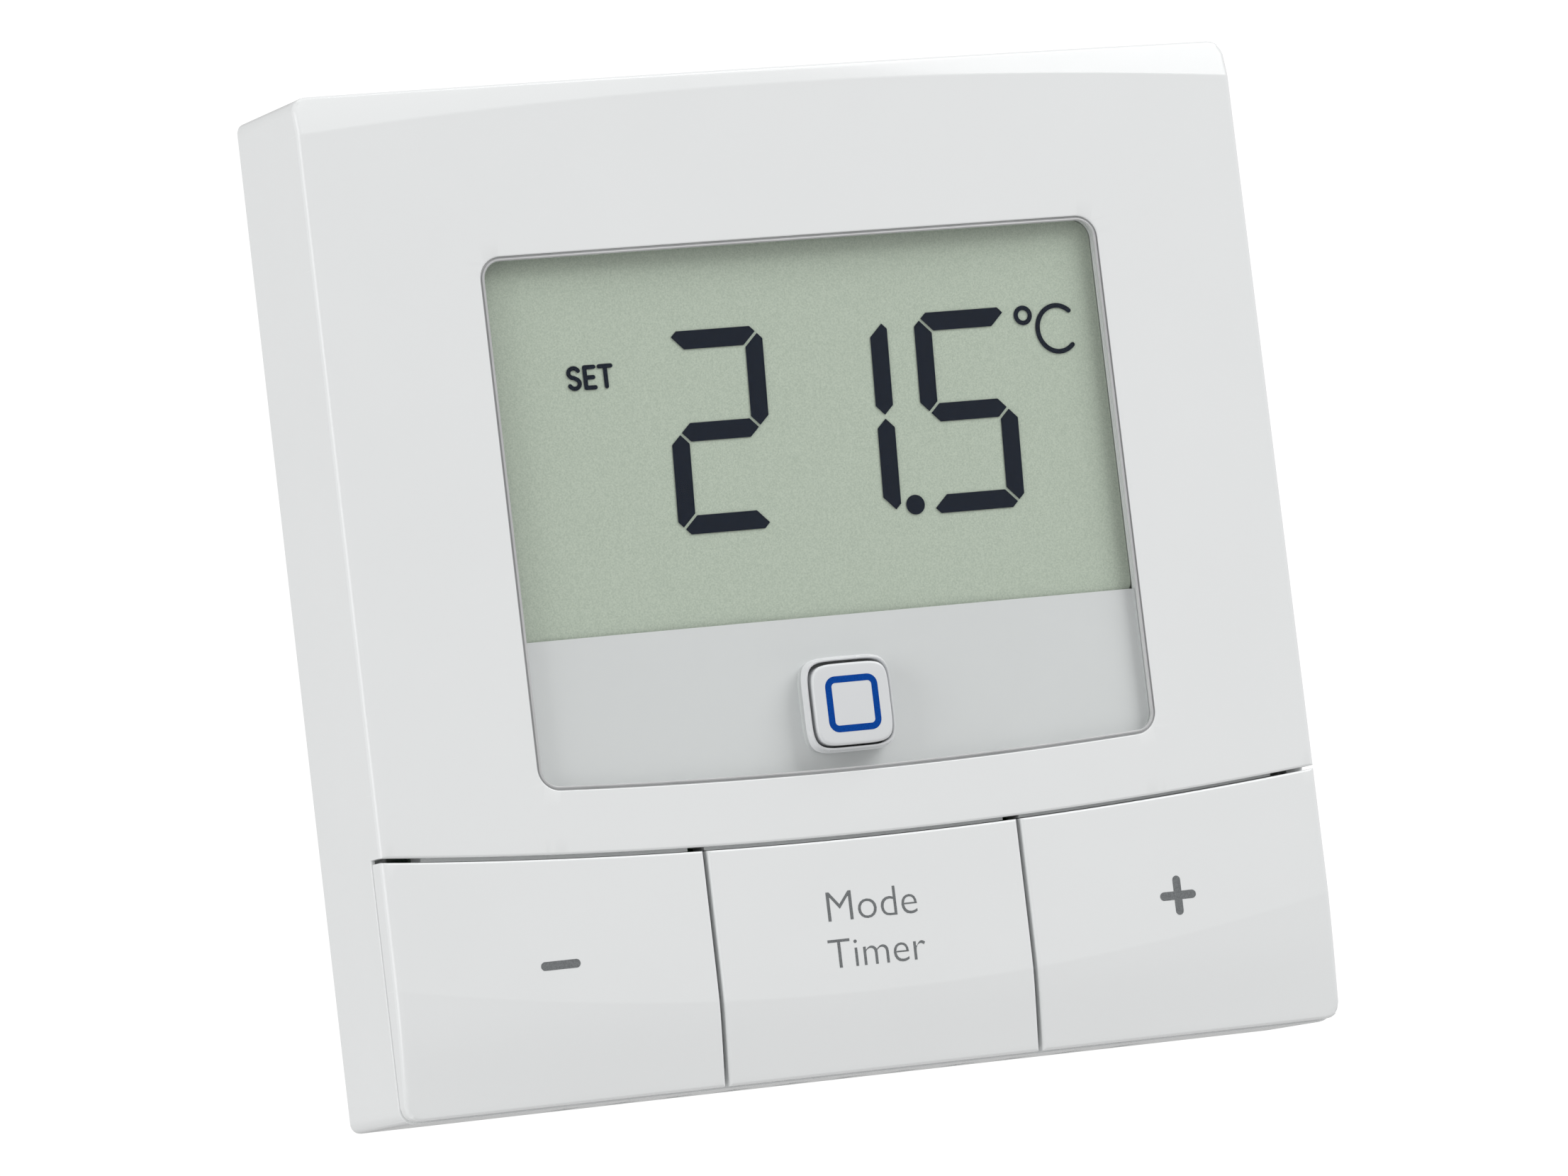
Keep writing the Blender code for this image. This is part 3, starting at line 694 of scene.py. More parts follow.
def cover_rows(x):
    """Heights of the cover's rows at x: first those of the sunken deck, then those of the face."""
    foot = arch(KEY_GAP, x) + KEY_LINE_HALF
    sill = window_sill(x)
    crease = arch(TOP_CREASE, x)
    deck = [-HALF_FOOT + e for e in rounds(DECK_EDGE_R, 2)]
    deck += between(deck[-1], -HALF_FOOT + CORNER_R, 4)
    deck += [-HALF_FOOT + CORNER_R]
    deck += between(deck[-1], foot, 6) + [foot]
    face = [foot + e for e in rounds(GAP_EDGE_R, 4)]
    face += between(face[-1], sill - HOLE_EDGE_R, 4)
    face += [sill - e for e in reversed(rounds(HOLE_EDGE_R, 3))]
    face += [sill + e for e in corner_lines(HOLE_R, 5)[1:]]
    face += between(face[-1], HOLE_TOP - HOLE_R, 22)
    face += [HOLE_TOP - e for e in reversed(corner_lines(HOLE_R, 5))]
    face += [HOLE_TOP + e for e in rounds(HOLE_EDGE_R, 3)[1:]]
    face += between(face[-1], crease - CREASE_WIDTH, 9)
    face += [crease - CREASE_WIDTH, crease, crease + CREASE_WIDTH]
    face += between(face[-1], HALF_TOP - TOP_R, 6)
    face += [HALF_TOP - e for e in reversed(rounds(TOP_R, 5))]
    return deck, face


def window_corner(x, z, sill, gap=0.0):
    """Rounds the corners of the pane, or of a hole wider by that gap, and fades out beyond them."""
    radius = PANE_R + gap
    side = math.copysign(1.0, x)
    a = abs(x) - (PANE_HALF - PANE_R)
    upper = z - (PANE_TOP - PANE_R)
    lower = sill(x) + radius - z
    if upper > 0:
        a, upper = rounded_corner(a, upper, radius, CORNER_FADE)
        return side * (PANE_HALF - PANE_R + a), PANE_TOP - PANE_R + upper
    if lower > 0:
        a, lower = rounded_corner(a, lower, radius, CORNER_FADE)
        x = side * (PANE_HALF - PANE_R + a)
        return x, sill(x) + radius - lower
    return x, z


def outer_corner(x, z, half_height, radius=CORNER_R):
    """Rounds the outer form's corners."""
    a = abs(x) - (HALF_SIDE - radius)
    b = abs(z) - (half_height - radius)
    if a <= 0 or b <= 0:
        return x, z
    a, b = rounded_corner(a, b, radius)
    return math.copysign(HALF_SIDE - radius + a, x), math.copysign(half_height - radius + b, z)


def face_point(x, z):
    """A point of the cover's face, from its place on the square grid."""
    beyond_window = max(abs(x) - HOLE_HALF, z - HOLE_TOP, window_sill(x) - z)
    fall = max(
        drop(HALF_SIDE - abs(x), SIDE_R),
        drop(HALF_TOP - z, TOP_R),
        drop(z - arch(KEY_GAP, x) - KEY_LINE_HALF, GAP_EDGE_R),
        drop(beyond_window, HOLE_EDGE_R),
    )
    x, z = window_corner(x, z, window_sill, PANE_GAP)
    x, z = outer_corner(x, z, HALF_TOP)
    return x, front_depth(x, z) - fall, z


def deck_point(x, z):
    fall = max(drop(HALF_SIDE - abs(x), DECK_EDGE_R), drop(z + HALF_FOOT, DECK_EDGE_R))
    x, z = outer_corner(x, z, HALF_FOOT)
    return x, DECK_FRONT - fall, z


def window_ring(places, grow, depth):
    """The window's edge, grown by that much, at depth(x)."""
    ring = []
    for x, z in places:
        a = abs(x) - (HOLE_HALF - HOLE_R)
        upper = z - (HOLE_TOP - HOLE_R)
        lower = window_sill(x) + HOLE_R - z
        b = upper if upper > 0 else -lower if lower > 0 else 0.0
        along = Vector((max(a, 0.0) * math.copysign(1, x), b)).normalized()
        x += along.x * grow
        ring.append((x, depth(x), z + along.y * grow))
    return ring


def front_cover():
    """The cover as one closed shell: face, window ledge, step to the key deck, side walls and lining."""
    xs = cover_columns()
    deck_rows = len(cover_rows(0.0)[0])
    columns = [[(x, z) for z in sum(cover_rows(x), [])] for x in xs]
    heights = [z for _, z in columns[0]]

    def nearest(values, wanted):
        return min(range(len(values)), key=lambda k: abs(values[k] - wanted))

    left = nearest(xs, -HOLE_HALF)
    right = len(xs) - 1 - left
    sill = nearest(heights, window_sill(xs[0]))
    head = nearest(heights, HOLE_TOP)
    inner_half = HALF_SIDE - WALL

    def lining(x, z, row):
        x = max(-inner_half, min(inner_half, x))
        step = arch(KEY_GAP, x) + KEY_LINE_HALF
        if row >= deck_rows:
            return x, LINING_FRONT + crown(x), max(step + WALL, min(inner_half, z))
        z = step + WALL if z > step - 0.001 else z
        return x, DECK_BACK, max(-inner_half, z)

    outer, inner = [], []
    for column in columns:
        outer.append([deck_point(*place) for place in column[:deck_rows]])
        outer[-1] += [face_point(*place) for place in column[deck_rows:]]
        inner.append([lining(*place, row) for row, place in enumerate(column)])
    mesh = Mesh()

    # The window's edge, from the face over the ledge to the lining
    walk = grid_rim([[(i, j) for j in range(sill, head + 1)] for i in range(left, right + 1)])
    edge = [outer[i][j] for i, j in walk]
    places = [(x, z) for x, _, z in edge]
    ledge_out = window_ring(places, 0.0, lambda x: LEDGE_DEPTH + crown(x))
    ledge_in = window_ring(places, -LEDGE, lambda x: LEDGE_DEPTH + crown(x))
    rear_in = window_ring(places, -LEDGE, lambda x: LINING_FRONT + crown(x))
    mesh.loft([edge, ledge_out, ledge_in, rear_in])
    for (i, j), place in zip(walk, rear_in):
        inner[i][j] = place

    for i in range(len(xs) - 1):
        for j in range(len(heights) - 1):
            if left <= i < right and sill <= j < head:
                continue
            for side in (outer, inner):
                mesh.face(side[i][j], side[i + 1][j], side[i + 1][j + 1], side[i][j + 1])

    # Side walls: down from the face to the deck's level, to the back edge, and up again inside
    rim = grid_rim([[(i, j) for j in range(len(heights))] for i in range(len(xs))])
    outline = [outer[i][j] for i, j in rim]
    inside = [inner[i][j] for i, j in rim]
    back = []
    for i, j in rim:
        half_height = HALF_TOP if j >= deck_rows else HALF_FOOT
        back.append(outer_corner(*columns[i][j], half_height, BACK_CORNER_R))
    mesh.loft([
        outline,
        [(x, DECK_FRONT - DECK_EDGE_R, z) for x, _, z in outline],
        [(x, COVER_BACK, z) for x, z in back],
        [(x, COVER_BACK, z) for x, _, z in inside],
        [(x, DECK_BACK, z) for x, _, z in inside],
        inside,
    ])
    cover = mesh.build("front_cover_shell", drafted)
    cut_cover(cover)
    shade(cover)
    even_normals(cover)
    return piece(cover, moulded("white_housing", WHITE, 0.1), "unit", "housing_plastic", "front_cover")


def key_top_gap(x):
    """How far the keys' tops stay below the gap's middle line."""
    return KEY_LINE_HALF - KEY_LINE_TAPER * (x + KEY_CENTRE)


def gap_shelves():
    """Narrow shelves just behind the gap above the keys, from each dark notch to the next."""
    mesh = Mesh()
    root = DECK_BACK + 0.2
    for first, last in SHELVES:
        rings = []
        for x in [first] + between(first, last, 12) + [last]:
            low = arch(KEY_GAP, x) - key_top_gap(x) + SHELF_GAP
            high = arch(KEY_GAP, x) + KEY_LINE_HALF
            front = front_depth(x, high) - SHELF_SINK
            high += SHELF_ROOT
            rings.append([(x, root, low), (x, front, low), (x, front, high), (x, root, high)])
        mesh.loft(rings)
        mesh.face(*rings[0])
        mesh.face(*rings[-1])
    return mesh.build("gap_shelves")


def cut_cover(cover):
    """Details of the cover: shelves and notches of the key gap, deck holes, vents and screw bosses."""
    boolean(cover, gap_shelves(), "UNION")
    cutters = []
    for x, width in NOTCHES:
        gap = arch(KEY_GAP, x)
        cutters.append((about(x, width / 2), (DECK_BACK - 0.5, NOTCH_TOP), (gap - 0.6, gap + 1.1)))
    deck = (DECK_BACK - 0.9, 15.0)
    for x in KEY_CENTRES.values():
        cutters.append((about(x, SWITCH_HOLE), deck, about(KEY_SWITCH_Z, SWITCH_HOLE)))
        for tab in (x - TAB_X, x + TAB_X):
            cutters.append((about(tab, TAB_HALF + 0.5), deck, TAB_HOLE))
    for k in range(VENTS):
        x = VENT_PITCH * (k - (VENTS - 1) / 2)
        for z in (-VENT_Z, VENT_Z):
            cutters.append((about(x, VENT_WIDTH / 2), VENT_SPAN, about(z, 2.0)))
    bosses = [(x, z) for x in (-BOSS_X, BOSS_X) for z in BOSS_HEIGHTS]
    boolean(cover, rods("bosses", bosses, BOSS_R, BOSS_SPAN), "UNION")
    boolean(cover, rods("boss_bores", bosses, BOSS_BORE_R, BOSS_BORE_SPAN), "DIFFERENCE")
    boolean(cover, blocks("cover_cutters", cutters), "DIFFERENCE")


def side_radius(edge):
    """Rounding of a key's side: larger where it is the unit's own side."""
    return SIDE_R if abs(edge) > HALF_SIDE - 1 else KEY_EDGE_R


def key_columns(left, right):
    lines = []
    for edge, inward in ((left, 1.0), (right, -1.0)):
        insets = rounds(side_radius(edge), 5)
        if side_radius(edge) == SIDE_R:
            insets += [BACK_CORNER_R, CORNER_R]
        lines.append([edge + inward * e for e in insets])
    return lines[0] + between(lines[0][-1], lines[1][-1], 14) + lines[1][::-1]


def key_rows(x):
    top = arch(KEY_GAP, x) - key_top_gap(x)
    crease = arch(LOW_CREASE, x)
    rows = [KEY_BOTTOM + e for e in rounds(KEY_FOOT_R, 4) + [CORNER_R / 2, CORNER_R]]
    rows += between(rows[-1], crease - CREASE_WIDTH, 7)
    rows += [crease - CREASE_WIDTH, crease, crease + CREASE_WIDTH]
    rows += between(rows[-1], top - KEY_TOP_R, 8)
    return rows + [top - e for e in reversed(rounds(KEY_TOP_R, 4))]


def key_point(x, z, left, right):
    fall = max(
        drop(x - left, side_radius(left)),
        drop(right - x, side_radius(right)),
        drop(z - KEY_BOTTOM, KEY_FOOT_R),
        drop(arch(KEY_GAP, x) - key_top_gap(x) - z, KEY_TOP_R),
    )
    x, z = outer_corner(x, z, -KEY_BOTTOM)
    return x, front_depth(x, z) - fall, z


def key(place, left, right):
    """One key: a slab of the front under the arched gap, with its pusher and hinge tabs behind."""
    mesh = Mesh()
    columns = [[key_point(x, z, left, right) for z in key_rows(x)] for x in key_columns(left, right)]
    mesh.sheet(columns, lambda x: KEY_BACK)
    cap = mesh.build(f"key_{place}_cap", drafted)
    x = KEY_CENTRES[place]
    root = KEY_BACK + 0.4
    boolean(cap, rods("pusher", [(x, KEY_SWITCH_Z)], PUSHER_R, (PUSHER_END, root)), "UNION")
    tabs = [about(x - TAB_X, TAB_HALF), about(x + TAB_X, TAB_HALF)]
    boolean(cap, blocks("tabs", [(tab, (TAB_END, root), TAB_SPAN) for tab in tabs]), "UNION")
    noses = [(tab, (TAB_END, TAB_END + 0.45), TAB_NOSE) for tab in tabs]
    boolean(cap, blocks("tab_noses", noses), "UNION")
    shade(cap)
    even_normals(cap)
    piece(cap, moulded(f"white_key_{place}", WHITE, 0.1), f"key_{place}", "key_plastic", f"key_{place}")


def cut_collar_hole(sheet, grow):
    """Cuts the hole for the button's collar, wider than the collar's bore by that much on each side."""
    outline = cushion(BUTTON_HALF + COLLAR_GAP + grow)
    boolean(sheet, plate("collar_hole", outline, level(20.0), level(10.0)), "DIFFERENCE")


def window_pane():
    """Clear pane, crowned like the front, with a hole for the button's collar."""
    edge = rounds(PANE_EDGE_R, 3) + corner_lines(PANE_R, 5)[2:]
    right = [PANE_HALF - e for e in edge]
    right += between(right[-1], 0.0, 16)
    front = []
    for x in both_sides(right):
        foot = arch(PANE_FOOT, x)
        rows = [foot + e for e in edge]
        rows += between(rows[-1], PANE_TOP - PANE_R, 20)
        rows += [PANE_TOP - e for e in reversed(edge)]
        column = []
        for z in rows:
            fall = drop(min(PANE_HALF - abs(x), PANE_TOP - z, z - foot), PANE_EDGE_R)
            px, pz = window_corner(x, z, lambda _: foot)
            column.append((px, LENS_FRONT + crown(px) - fall, pz))
        front.append(column)
    mesh = Mesh()
    mesh.sheet(front, lambda x: LENS_BACK + crown(x))
    pane = mesh.build("window_pane")
    cut_collar_hole(pane, PANE_HOLE)
    shade(pane)
    clear = clear_pane("clear_window", (0.99, 0.995, 0.99), 0.012)
    piece(pane, clear, "unit", "window_clear", "window_lens")


def window_outline(inset):
    """Outline of the pane, that far in from its edge, with an arched foot."""
    radius = PANE_R - inset
    cx = PANE_HALF - PANE_R
    cz = PANE_TOP - PANE_R
    foot_z = arch(PANE_FOOT, cx) + PANE_R
    outline = arc(cx, cz, radius, 0, 90, 8)
    outline += [(x, PANE_TOP - inset) for x in between(cx, -cx, 24)]
    outline += arc(-cx, cz, radius, 90, 180, 8) + arc(-cx, foot_z, radius, 180, 270, 8)
    outline += [(x, arch(PANE_FOOT, x) + inset) for x in between(-cx, cx, 24)]
    return outline + arc(cx, foot_z, radius, 270, 360, 8)


def moulding(name, profile, outline, material):
    """A closed band along outline(grow), at the heights over the pane that its profile gives."""
    rings = []
    for grow, rise in profile:
        rings.append([(x, LENS_FRONT + crown(x) + rise, z) for x, z in outline(grow)])
    mesh = Mesh()
    mesh.loft(rings + rings[:1])
    made = mesh.build(name)
    shade(made, 60.0)
    piece(made, material, "unit", "window_clear")


def window_rim():
    """Rounded, silvery rim of the pane, where its edge catches the light."""
    profile = [(-RIM_FLANGE, RIM_TOP - LENS_RIM_DEEP), (-RIM_FLANGE, -0.15), (0.0, -0.14)]
    profile += [(0.0, -0.1), (0.015, -0.04), (0.05, 0.005), (0.1, RIM_TOP), (LENS_RIM - 0.08, RIM_TOP)]
    profile += [(LENS_RIM - 0.03, 0.0), (LENS_RIM, -0.06), (LENS_RIM, RIM_TOP - LENS_RIM_DEEP)]
    silver = moulded("rim_silver", (0.58, 0.585, 0.59), 0.14, grain=0.001, mottle=0.2)
    moulding("window_rim", profile, window_outline, silver)


def button_collar():
    """Swelling of the front round the button: it rises softly from the pane to a rounded lip."""
    lip = COLLAR_FRONT - LENS_FRONT - crown(0.0)
    bore = BUTTON_HALF + COLLAR_GAP
    profile = [(bore, COLLAR_FOOT), (bore, lip - 0.1), (bore + 0.025, lip - 0.03), (bore + 0.07, lip)]
    for k in range(13):
        fall = (0.5 + 0.5 * math.cos(math.pi * k / 12)) ** 1.25
        profile.append((bore + 0.13 + COLLAR_FLARE * k / 12, 0.006 + (lip - 0.012) * fall))
    outside = bore + COLLAR_WALL
    profile += [(bore + 0.13 + COLLAR_FLARE, -0.01), (outside, -0.1), (outside, COLLAR_FOOT)]
    grey = moulded("collar_grey", (0.715, 0.727, 0.738), 0.25, grain=0.001)
    moulding("button_collar", profile, cushion, grey)


def button_face_depth(x, z):
    along = max(abs(x - BUTTON_SHIFT[0]), abs(z - BUTTON_Z - BUTTON_SHIFT[1]))
    return BUTTON_FRONT - BUTTON_DOME * along**2 / BUTTON_HALF**2


def system_button():
    """Cushion-shaped button with a flange that keeps it in, and a pusher over its switch."""
    mesh = Mesh()
    back = [(x, BUTTON_BACK, z) for x, z in cushion(BUTTON_HALF, BUTTON_SHIFT)]
    rings = [back]
    for inset in rounds(BUTTON_EDGE_R, 5):
        fall = drop(inset, BUTTON_EDGE_R)
        outline = cushion(BUTTON_HALF - inset, BUTTON_SHIFT)
        rings.append([(x, button_face_depth(x, z) - fall, z) for x, z in outline])
    for share in (0.9, 0.75, 0.5, 0.25):
        outline = cushion(BUTTON_HALF * share, BUTTON_SHIFT)
        rings.append([(x, button_face_depth(x, z), z) for x, z in outline])
    mesh.loft(rings)
    mesh.fan((BUTTON_SHIFT[0], BUTTON_FRONT, BUTTON_Z + BUTTON_SHIFT[1]), rings[-1])
    mesh.face(*back)
    button = mesh.build("system_button_cap")
    flange = (about(0.0, FLANGE_HALF), FLANGE_SPAN, about(BUTTON_Z, FLANGE_HALF))
    boolean(button, blocks("flange", [flange]), "UNION")
    pusher = rods("pusher", [(0.0, BUTTON_Z)], PUSHER_R, (PUSHER_END, BUTTON_BACK + 0.1))
    boolean(button, pusher, "UNION")
    shade(button)
    even_normals(button)
    white = moulded("button_white", (0.75, 0.765, 0.778), 0.22, grain=0.001)
    piece(button, white, "system_button", "button_plastic", "system_button")

    ring = Mesh()
    middle = (BUTTON_SHIFT[0], BUTTON_Z + BUTTON_SHIFT[1])
    faces = above(button_face_depth, 0.01), above(button_face_depth, -0.04)
    ring.band(rounded(*middle, *RING_OUTER), rounded(*middle, *RING_INNER), *faces)
    mark = ring.build("button_ring_print")
    piece(mark, printed("blue_print", (0.003, 0.06, 0.33), 0.4), "system_button", "button_plastic")


def grey_film():
    """Grey printed sheet behind the pane's lower part."""
    half = PANE_HALF - FILM_INSET
    right = [half - e for e in corner_lines(PANE_R, 6)]
    right += between(right[-1], 0.0, 16)
    front = []
    for x in both_sides(right):
        near_side = max(0.0, abs(x) - (half - PANE_R))
        lift = PANE_R - math.sqrt(max(0.0, PANE_R**2 - near_side**2))
        foot = arch(PANE_FOOT, x) + FILM_INSET + lift
        rows = [foot] + between(foot, FILM_TOP, 10) + [FILM_TOP]
        front.append([(x, FILM_FRONT + crown(x), z) for z in rows])
    mesh = Mesh()
    mesh.sheet(front, lambda x: FILM_BACK + crown(x))
    film = mesh.build("grey_film")
    cut_collar_hole(film, FILM_HOLE)
    shade(film)
    grey = moulded("grey_print", (0.785, 0.793, 0.807), 0.4, grain=0.002, mottle=0.02)
    piece(film, grey, "unit", "grey_print", "display_mask")


# Display


LCD_IMAGE_FACES = [level(depth) for depth in LCD_IMAGE]


def digit_bars(width, height, bar, gap):
    """The seven bars of a digit, each an outline with slanted ends, by their usual letters."""
    tip = 0.3 * bar
    near = gap + tip
    far = gap + 2 * tip
    end = gap + bar
    half = bar / 2
    mid = height / 2
    top = [(near, height - tip), (far, height), (width - far, height), (width - near, height - tip)]
    top += [(width - end, height - bar), (end, height - bar)]
    upper = [(width - tip, height - near), (width, height - far), (width, mid + gap + half)]
    upper += [(width - half, mid + gap), (width - bar, mid + gap + half), (width - bar, height - end)]
    middle = [(gap + half, mid), (end, mid + half), (width - end, mid + half)]
    middle += [(width - gap - half, mid), (width - end, mid - half), (end, mid - half)]

    def flipped(outline, across, down):
        return [(width - x if across else x, height - z if down else z) for x, z in outline]

    return {
        "a": top,
        "b": upper,
        "c": flipped(upper, False, True),
        "d": flipped(top, False, True),
        "e": flipped(upper, True, True),
        "f": flipped(upper, True, False),
        "g": middle,
    }


def stroke(line, width):
    """Outline of a pen stroke of even width along a line of points, with round ends."""
    left, right = [], []
    for k, (x, z) in enumerate(line):
        before = Vector(line[max(k - 1, 0)])
        after = Vector(line[min(k + 1, len(line) - 1)])
        way = (after - before).normalized() * width / 2
        left.append((x - way.y, z + way.x))
        right.append((x + way.y, z - way.x))
    caps = []
    for end, edge in ((line[-1], left[-1]), (line[0], right[0])):
        first = math.degrees(math.atan2(edge[1] - end[1], edge[0] - end[0]))
        caps.append(arc(*end, width / 2, first, first - 180, 8)[1:-1])
    return left + caps[0] + right[::-1] + caps[1]


def flat_text(name, words, z, width):
    """Lettering in the built-in font, brought to a width, laid on the front and sunk a little into it."""
    data = bpy.data.curves.new(name, "FONT")
    with_settings(data, body=words, offset=LABEL_WEIGHT, extrude=1.0, resolution_u=4)
    text = linked(name, data)
    mesh = evaluated(text)
    bpy.data.objects.remove(text)
    across = [v.co.x for v in mesh.vertices]
    up = [v.co.y for v in mesh.vertices]
    scale = width / (max(across) - min(across))
    middle_x = (max(across) + min(across)) / 2
    middle_z = (max(up) + min(up)) / 2
    for vert in mesh.vertices:
        place = (vert.co.x - middle_x) * scale, z + (vert.co.y - middle_z) * scale
        rise = LABEL_HIGH if vert.co.z > 0 else LABEL_LOW
        vert.co = to_metres((place[0], front_depth(*place) + rise, place[1]))
    turn_outward(mesh, 0.001 * MM)
    return linked(name, mesh)


def display():
    """The LCD: an opaque rear plate with the field's colour, the image, and a clear front plate over it."""
    rear = Mesh()
    middle = (LCD_LOW.z + LCD_HIGH.z) / 2
    outline = rounded(0.0, middle, 2 * LCD_HIGH.x, LCD_HIGH.z - LCD_LOW.z, 0.3, 3)
    rear.slab(outline, level(LCD_MIDDLE), level(LCD_BACK))
    half = HOLE_HALF - LEDGE - LCD_SIDE_GAP
    top = HOLE_TOP - LEDGE - LCD_SIDE_GAP
    foot = LCD_LOW.z + LCD_STEP
    opening = rounded(0.0, (foot + top) / 2, 2 * half, top - foot, 1.5, 6)
    rear.slab(opening, level(LCD_FIELD), level(LCD_MIDDLE))
    piece(rear.build("lcd_rear_plate"), lcd_field("lcd_field"), "unit", "lcd", "lcd_glass")

    glass = plate("lcd_front_plate", opening, level(LCD_TOP), level(LCD_FIELD + 0.02))
    piece(glass, clear_pane("lcd_clear", (0.995, 1.0, 0.995), 0.004), "unit", "lcd")

    ink = printed("lcd_ink", (0.004, 0.009, 0.022), 0.5)
    piece(lcd_digits(), ink, "unit", "lcd")
    pens = []
    for line in legend_lines(*LEGEND):
        pens.append(plate("lcd_legend", stroke(line, LEGEND_PEN), *LCD_IMAGE_FACES))
    for pen in pens[1:]:
        boolean(pens[0], pen, "UNION")
    piece(pens[0], ink, "unit", "lcd")


def lcd_digits():
    """The shown value with its point and its unit."""
    bars = digit_bars(DIGIT_WIDTH, DIGIT_HEIGHT, BAR_WIDTH, BAR_GAP)
    middle = DIGITS_FOOT + DIGIT_HEIGHT / 2
    image = Mesh()
    for place, shown in enumerate(("abged", "bc", "afgcd")):
        left = DIGITS_LEFT + place * DIGIT_PITCH
        for letter in shown:
            outline = []
            for x, z in bars[letter]:
                outline.append((left + x + DIGIT_SLANT * (z + DIGITS_FOOT - middle), DIGITS_FOOT + z))
            image.slab(outline, *LCD_IMAGE_FACES)
    image.slab(circle(*POINT), *LCD_IMAGE_FACES)
    image.band(*[circle(*DEGREE_AT, radius) for radius in DEGREE_R], *LCD_IMAGE_FACES)
    letter_c = arc(0.0, 0.0, 1.72, 48, 312, 30)
    letter_c = [(LETTER_C_AT[0] + x, LETTER_C_AT[1] + 1.08 * z) for x, z in letter_c]
    image.slab(stroke(letter_c, LETTER_C_PEN), *LCD_IMAGE_FACES)
    return image.build("lcd_digits")


def legend_lines(x, z, width, height):
    """Pen lines of the word SET, from the foot of its first letter."""
    letter_s = []
    bows = arc(0.0, 0.76, 1.0, 25, 270, 12), arc(0.0, 0.24, 1.0, 90, -155, 12)[1:]
    for middle, bow in zip((0.76, 0.24), bows):
        letter_s += [(width * (0.5 + 0.42 * a), height * (middle + 0.24 * (b - middle))) for a, b in bow]
    second = 1.42 * width
    third = 2.62 * width
    end_e = second + 0.75 * width
    letter_e = [(end_e, height), (second, height), (second, 0.0), (end_e, 0.0)]
    bar_e = [(second, height / 2), (second + 0.65 * width, height / 2)]
    bar_t = [(third, height), (third + 0.95 * width, height)]
    post_t = [(third + 0.48 * width, height), (third + 0.48 * width, 0.0)]
    lines = (letter_s, letter_e[:2], letter_e[1:3], letter_e[2:], bar_e, bar_t, post_t)
    return [[(x + a, z + b) for a, b in line] for line in lines]


# Marks on the keys


def key_marks():
    ink = printed("grey_ink", (0.19, 0.2, 0.205))
    faces = above(front_depth, MARK_HIGH), above(front_depth, MARK_LOW)
    outline = rounded(*MINUS_AT, MINUS_WIDTH, MARK_PEN, MARK_PEN / 2 - 0.001)
    piece(plate("minus_mark", outline, *faces), ink, "key_minus", "grey_print")
    half = MARK_PEN / 2
    outline = []
    for k in range(4):
        turn = Matrix.Rotation(math.pi / 2 * k, 2)
        arm = arc(PLUS_WIDTH / 2 - half, 0.0, half, -90, 90, 8) + [(half, half)]
        outline += [tuple(turn @ Vector(point) + Vector(PLUS_AT)) for point in arm]
    piece(plate("plus_mark", outline, *faces), ink, "key_plus", "grey_print")
    for place, words, z, width in LABELS:
        piece(flat_text(f"menu_label_{place}", words, z, width), ink, "key_menu", "grey_print")


# Pieces behind the front


def cell(number, sign):
    """A battery turned about X: rolled shoulders, sleeve, raised contact and dished flat end."""
    low, high = box_mm(f"battery_{number}")
    depth = -(low.y + high.y) / 2
    z = (low.z + high.z) / 2
    radius = (high.z - low.z) / 2
    flat = low.x if sign > 0 else high.x
    length = high.x - low.x
    profile = [(0.35, 0.0), (0.35, 3.6), (0.0, 4.0), (0.0, radius - 0.55)]
    profile += [(0.16, radius - 0.16), (0.55, radius), (length - 1.7, radius)]
    profile += [(length - 1.25, radius - 0.18), (length - 1.05, radius - 0.6), (length - 1.05, 2.2)]
    profile += [(length - 0.85, 1.95), (length - 0.2, 1.9), (length, 1.7), (length, 0.0)]
    mesh = Mesh()
    rings = []
    for along, out in profile:
        x = flat + sign * along
        rings.append([(x, depth + a, z + b) for a, b in circle(0.0, 0.0, out, 48)])
    mesh.loft(rings)
    made = mesh.build(f"battery_cell_{number}")
    shade(made)
    piece(made, cell_sleeve(f"cell_sleeve_{number}", sign), "unit", "battery_sleeve", f"battery_{number}")


def contact_spring(number, sign):
    """Conical wire spring that presses on a cell's flat end, wound from its seat."""
    low, high = box_mm(f"contact_spring_{number}")
    depth = -(low.y + high.y) / 2
    z = (low.z + high.z) / 2
    wire = 0.25
    seat_r = 3.4
    tip_r = 1.95
    turns = 3.3
    count = 120
    start = low.x + wire if sign > 0 else high.x - wire
    length = high.x - low.x - 2 * wire
    data = bpy.data.curves.new(f"battery_spring_{number}", "CURVE")
    with_settings(data, dimensions="3D", bevel_depth=wire * MM, bevel_resolution=3, use_fill_caps=True)
    spline = data.splines.new("POLY")
    spline.points.add(count)
    for k, point in enumerate(spline.points):
        share = k / count
        a = 2 * math.pi * turns * share
        radius = seat_r + (tip_r - seat_r) * share
        place = (start + sign * length * share, depth + radius * math.cos(a), z + radius * math.sin(a))
        point.co = (*to_metres(place), 1.0)
    spring = linked(data.name, data)
    steel = brushed(f"spring_wire_{number}", (0.72, 0.71, 0.68), 0.25)
    piece(spring, steel, "unit", "spring_steel", f"contact_spring_{number}")


